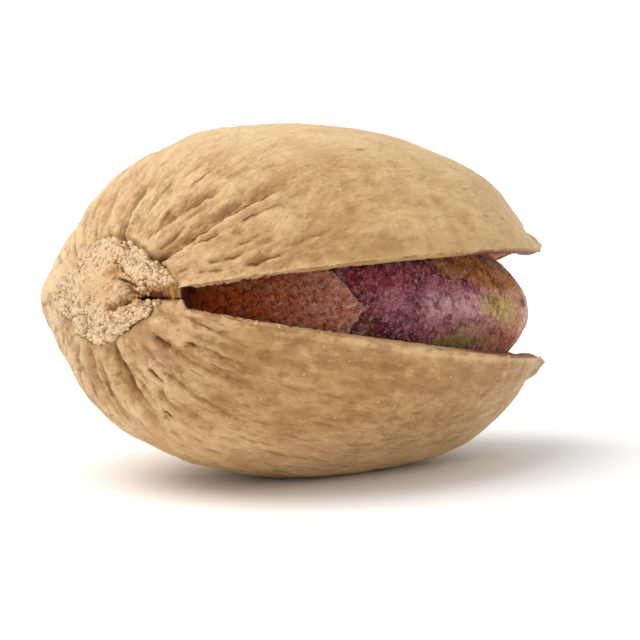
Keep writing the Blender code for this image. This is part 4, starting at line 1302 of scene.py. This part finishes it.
def make_kernel(sizes):
    board = ShapeBoard("kernel", sizes)
    size = board.size
    rings = {"Segments": size("Segments"), "Rings": size("Rings"), "Radius": 1.0}
    ball = board.add("GeometryNodeMeshUVSphere", {}, rings)
    ball_x, ball_y, ball_z = board.add("GeometryNodeInputPosition").parts()
    sine = (1 - ball_z * ball_z).math("MAXIMUM", 1e-9) ** 0.5
    tip, below, far = ball_z.math("LESS_THAN", 0), 1 - (ball_y > 0), 1 - (ball_x > 0)
    fullness = tip.choose(2, size("Tip fullness"))
    fullness_down = (tip * below).choose(fullness, size("Tip fullness below"))
    reach = abs(ball_z) ** (2 / fullness) * tip.choose(size("Stem half"), size("Tip half"))
    x = tip.choose(-reach, reach) + size("Forward")
    width = far.choose(size("Near half"), size("Far half"))
    depth = below.choose(size("Up half"), size("Down half"))
    bow = size("Bow") * (x / size("Tip half")) ** 2
    y = -(sine ** (2 / fullness) * width * (ball_x / sine) + bow)
    z = sine ** (2 / fullness_down) * depth * (ball_y / sine) + size("Raise")
    along, around = ball_z.math("ARCCOSINE"), ball_y.math("ARCTAN2", ball_x)
    spot = board.join(along, around, 0).stretch(math.degrees(1), math.degrees(1))
    geometry = board.store(ball, "spot", spot)
    geometry = place_in_nut(board, geometry, board.join(x, y, z))
    nut = board.read("nut")
    lumps = (nut.stretch(0.5).noise(0.75) - 0.5) * size("Lump height")
    folds = (nut.stretch(0.35).noise(2.4, 3, 0.6) - 0.5) * size("Fold height")
    geometry = board.lift(geometry, lumps + folds)
    geometry = board.add("GeometryNodeSetShadeSmooth", {}, {"Geometry": geometry})
    return board.grow(add_thing("seed"), geometry)


KERNEL = {  # in mm; the torn skin follows the same form
    "Stem half": 7.35, "Tip half": 8.52, "Near half": 4.34, "Far half": 4.45, "Up half": 3.62,
    "Down half": 3.8, "Bow": 0.6, "Forward": 1.15, "Raise": -0.25,
}
seed = make_kernel(KERNEL | {
    "Segments": 240, "Rings": 160, "Tip fullness": 1.86, "Tip fullness below": 1.66, "Lump height": 0.14,
    "Fold height": 0.1, "Finish": kernel_finish,
})
report(seed)
keep_in_box(seed)

# %% [markdown]
# ## The torn skin
# A second, papery skin wraps the stem half of the kernel and ends in a torn point half way along the slit.
# It is a cup: rows of points from the stem end to a torn edge, a little way off the kernel. Its edge is a
# table of angles with noise on it, and it curls up slightly. A Solidify modifier gives it its thickness.
# Its finish is a matt orange brown, pinker towards the torn edge, with a felt of short fibres and a paler
# rim where it tore. It could be cut from a copy of the kernel, but rows that end at the torn edge give a
# cleaner rim.

# %% Torn skin finish
def make_skin_finish():
    board = Finish("torn_skin", 0.8, gloss=0.2)
    nut, along, edge = board.read("nut along edge")
    _, _, upward = nut.parts()
    cloud = nut.noise(1.1, 4, 0.65)
    skin = board.mix(cloud, paint(184, 72, 18), paint(214, 98, 36))
    away = (along + (cloud - 0.5) * 16).rise(48, 74)
    skin = skin.paint(away * 0.9, 222, 140, 114)
    skin = skin.paint(abs(upward - 0.42).rise(0.2, 0) * 0.35, 206, 146, 108)
    pocked = nut.noise(5.5, 4, 0.75).rise(0.49, 0.36)
    skin = skin.tint(pocked * 0.85, 0.38, 0.24, 0.22)
    gap = nut.noise(2.6, 4, 0.7).rise(0.5, 0.34) * upward.rise(1, 0)
    skin = skin.tint(gap * 0.8, 0.4, 0.28, 0.28)
    threads = streaks(nut, 7, 0.54, 0.64) * along.rise(30, 60)
    skin = skin.paint(threads * 0.7, 244, 186, 156)
    skin = skin.paint(edge.rise(0.975, 1) * 0.8, 224, 180, 160)
    return board.end(skin, nut.noise(5, 4, 0.7) * 0.14 + threads * 0.04 - pocked * 0.06)


skin_finish = make_skin_finish()
print("Skin finish has", len(skin_finish.node_tree.nodes), "nodes")

# %% Torn skin shape
SKIN_GAP, SKIN_THICK, SKIN_CURL, SKIN_LUMPS = 0.14, 0.12, 0.07, 0.05  # mm
SKIN_RAGGED, SKIN_RING = 0.9, 6  # degrees, and the size of the ring that its noise is read on
SKIN_ROWS, SKIN_COLUMNS = 90, 300
SKIN_ALONG, SKIN_SHARE, SKIN_WIDTH = 6, 7, 8
SKIN_EDGE = (  # around, along
    (0, 80), (4, 78), (9, 75.5), (14, 73.5), (21, 70), (38, 74), (60, 70), (84, 75), (110, 71), (140, 76),
    (170, 72), (200, 77), (226, 71), (255, 75), (282, 70), (305, 76), (330, 72.5), (346, 76), (352, 75.5),
)


def skin_places(along, around, lift):
    """Places just outside the kernel's stem half, by the kernel's own rule with its half sizes enlarged."""
    sine = np.sin(along)
    x = KERNEL["Forward"] - np.cos(along) * (KERNEL["Stem half"] + lift)
    half_width = np.where(np.cos(around) > 0, KERNEL["Near half"], KERNEL["Far half"]) + lift
    depth = np.where(np.sin(around) > 0, KERNEL["Up half"], KERNEL["Down half"]) + lift
    y = -KERNEL["Bow"] * (x / KERNEL["Tip half"]) ** 2 - sine * half_width * np.cos(around)
    return np.stack([x, y, KERNEL["Raise"] + sine * depth * np.sin(around)], axis=-1)


def make_torn_skin():
    around = np.linspace(0, 2 * math.pi, SKIN_COLUMNS, endpoint=False)
    ring = SKIN_RING * np.stack([np.cos(around), np.sin(around), 0 * around], axis=-1)
    edge = read_around(SKIN_EDGE, np.degrees(around)) + SKIN_RAGGED * noise_at(ring, 0.35, 20)
    share = np.linspace(0, 1, SKIN_ROWS)[:, None]
    along = np.radians(edge) * share
    around = np.broadcast_to(around, along.shape)
    curl = SKIN_CURL * smooth(0.86, 1, share)
    lumps = SKIN_LUMPS * noise_at(skin_places(along, around, 0) * (0.4, 1, 1), 0.8, 21)
    places = skin_places(along, around, SKIN_GAP + curl + lumps)
    points = np.zeros((*along.shape, SKIN_WIDTH))
    points[..., PLACE], points[..., NUT] = lay_down(places), places
    points[..., SKIN_ALONG], points[..., SKIN_SHARE] = np.degrees(along), share
    cup = NumberedMesh(SKIN_WIDTH)
    numbers = cup.add(points)
    numbers[0, :] = numbers[0, 0]
    cup.grid(np.concatenate([numbers, numbers[:, :1]], axis=1), turned=False)
    kept = {"nut": NUT, "along": SKIN_ALONG, "edge": SKIN_SHARE}
    skin = add_thing("papery_skin", cup.mesh("papery_skin", kept))
    skin.data.materials.append(skin_finish)
    thickness = skin.modifiers.new("thickness", "SOLIDIFY")
    thickness.thickness = SKIN_THICK * MM
    thickness.offset = 1
    keep_mesh(skin)
    return skin


papery_skin = make_torn_skin()
report(papery_skin)
keep_in_box(papery_skin)

# %% [markdown]
# ## Loose crumbs and hairs
# The scar is built of grains, and splinters stand on the lips where the shell split. Both are one small
# ball, strewn over the shell by a tree. How thickly it strews them follows from numbers that the shell's
# points carry already. The kernel and the torn skin are felted with short hairs: one bent thread, laid flat
# on the surface and turned at random. Hair particles would do as well, but the export keeps only meshes.

# %% Strewn pieces
BALL = {"Segments": 8, "Rings": 5, "Radius": MM}
THREAD = {
    "Resolution": 4, "Start": (-0.5 * MM, 0, 0), "Middle": (0, 0.16 * MM, 0.1 * MM), "End": (0.5 * MM, 0, 0),
}


def strew(board, piece, density, turn, scale):
    """Lays copies of a piece on the faces of what came in, so many to a square millimetre."""
    sockets = {"Mesh": board.size("Geometry"), "Density": density * MM**-2, "Seed": board.size("Seed")}
    points = board.add("GeometryNodeDistributePointsOnFaces", {"distribute_method": "RANDOM"}, sockets)
    standing = Signal(board, points.socket.node.outputs["Rotation"])
    turn = board.add("FunctionNodeEulerToRotation", {}, {"Euler": turn})
    sockets = {"Rotation": standing, "Rotate By": turn}
    turned = board.add("FunctionNodeRotateRotation", {"rotation_space": "LOCAL"}, sockets)
    sockets = {"Points": points, "Instance": piece, "Rotation": turned, "Scale": scale}
    return board.add("GeometryNodeInstanceOnPoints", {}, sockets)


def strew_crumbs(name, ground, sizes):
    board = ShapeBoard(name, sizes)
    size = board.size
    nut, along, scar, crumb, layer = board.read("nut along scar crumb layer")
    clear = clear_of_slit(nut.parts()[1])
    on_scar = scar * crumb * (crumb_patches(nut) * 0.8 + 0.2) * layer.rise(0.1, 0)
    on_scar = on_scar * size("Crumbs per square mm") * (1 - clear * 0.5)
    on_lip = layer.rise(0.02, 0.1) * layer.rise(0.55, 0.4) * along.rise(26.5, 27.5)
    on_lip = on_lip * (along.rise(66, 50) * 0.8 + 0.2) * size("Splinters per square mm")
    turn = board.random((0, 0, 0), (math.pi, math.pi, math.pi), 1)
    shape = board.random((0.55, 0.55, 0.55), (1, 1, 1), 2)
    least, most = size("Least half"), size("Most half")
    half = board.random(0, 1, 3) ** 2 * (most - least) + least
    half = half * layer.rise(0.02, 0.08).choose(1, 0.5) * (1 - clear * 0.35)
    ball = board.add("GeometryNodeMeshUVSphere", {}, BALL)
    placed = strew(board, ball, on_scar + on_lip, turn, shape.scale(half))
    placed = board.add("GeometryNodeSetShadeSmooth", {}, {"Geometry": placed})
    return board.grow(add_thing(name, ground.data.copy()), placed)


def strew_hairs(name, ground, where, sizes):
    """Hairs on a piece; where gives, for a board, 1 where they grow and 0 where they don't."""
    board = ShapeBoard(name, sizes)
    size = board.size
    turn = board.join(0, 0, board.random(0, 2 * math.pi, 1))
    thread = board.add("GeometryNodeCurveQuadraticBezier", {}, THREAD)
    section = {"Resolution": 3, "Radius": size("Thickness") * MM}
    section = board.add("GeometryNodeCurvePrimitiveCircle", {}, section)
    sockets = {"Curve": thread, "Profile Curve": section, "Fill Caps": True}
    hair = board.add("GeometryNodeCurveToMesh", {}, sockets)
    length = board.random(size("Shortest"), size("Longest"), 2)
    even = board.join(length, length, length)
    placed = strew(board, hair, where(board) * size("Hairs per square mm"), turn, even)
    return board.grow(add_thing(name, ground.data.copy()), placed)


print("A ball has 8 by 5 faces, a hair 4 by 3")

# %% Crumbs and splinters
shell_crumbs = strew_crumbs("shell_crumbs", nutshell, {
    "Crumbs per square mm": 95.0, "Splinters per square mm": 60.0, "Least half": 0.03, "Most half": 0.105,
    "Seed": 5, "Finish": nutshell_finish,
})
report(shell_crumbs)
keep_in_box(shell_crumbs)

# %% Hairs on the kernel and on the torn skin
def on_seed(board):
    along, around, _ = board.read("spot").parts()
    return along.rise(66, 84) * abs(around).rise(42, 34)


def on_skin(board):
    nut, along = board.read("nut along")
    _, sideways, upward = nut.parts()
    return along.rise(36, 60) * (-sideways > 2.5) * abs(upward).rise(2.6, 2.2)


HAIR = {"Thickness": 0.055, "Shortest": 0.08, "Longest": 0.22, "Hairs per square mm": 60.0, "Seed": 7}
seed_hairs = strew_hairs("seed_hairs", seed, on_seed, {**HAIR, "Finish": kernel_finish})
skin_hairs = strew_hairs("skin_hairs", papery_skin, on_skin, {**HAIR, "Finish": skin_finish})
for hairs in (seed_hairs, skin_hairs):
    report(hairs)
    keep_in_box(hairs)

# %% [markdown]
# ## Floor, light and colour
# The picture is a plain studio shot: a white table that runs off to nowhere, a large soft light from above
# left, and pale light from all round. A sun with a wide angle is the large soft light, and it lights the
# far table evenly. Plain colours, without a film curve, keep the table white.

# %% Floor and light
TABLE_HALF = 1.5  # metres
TABLE_WHITE, ROOM_LIGHT = 0.93, 0.79
KEY_STRENGTH, KEY_SPREAD, KEY_COLOUR = 2.2, math.radians(50), (1, 0.98, 0.95)
KEY_FROM = RIGHT * -0.55 + Vector((0, 0, 1)) + BACK * 0.22


def make_table():
    finish = Finish("white_table", 0.9, gloss=0)
    finish.shader.inputs["Base Color"].default_value = (TABLE_WHITE, TABLE_WHITE, TABLE_WHITE, 1)
    corners = [(x * TABLE_HALF, y * TABLE_HALF, 0) for x, y in ((-1, -1), (1, -1), (1, 1), (-1, 1))]
    mesh = bpy.data.meshes.new("table")
    mesh.from_pydata(corners, [], [(0, 1, 2, 3)])
    mesh.materials.append(finish.material)
    return add_thing("table", mesh)


def make_key_light():
    data = bpy.data.lights.new("key light", "SUN")
    data.energy, data.angle, data.color = KEY_STRENGTH, KEY_SPREAD, KEY_COLOUR
    key = add_thing("key light", data)
    key.rotation_euler = (-KEY_FROM).to_track_quat("-Z", "Y").to_euler()
    return key


table = make_table()
key = make_key_light()
world = bpy.data.worlds.new("studio")
world.use_nodes = True
room = world.node_tree.nodes["Background"]
room.inputs["Color"].default_value = (1, 1, 1, 1)
room.inputs["Strength"].default_value = ROOM_LIGHT
bpy.context.scene.world = world
bpy.context.scene.view_settings.view_transform = "Standard"
print("Key light direction:", [round(c, 2) for c in key.rotation_euler])

# %% [markdown]
# ## Where each piece belongs
# The nut has no moving parts, so every piece rides on the one body. The fine shell, kernel and torn skin
# stand for the solids of the same places.

# %% Ride and replace
for thing, node in ((nutshell, "shell"), (seed, "kernel"), (papery_skin, "torn_skin")):
    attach(thing, "root")
    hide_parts(node)
for thing, node in ((shell_crumbs, "shell"), (seed_hairs, "kernel"), (skin_hairs, "torn_skin")):
    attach(thing, "root")
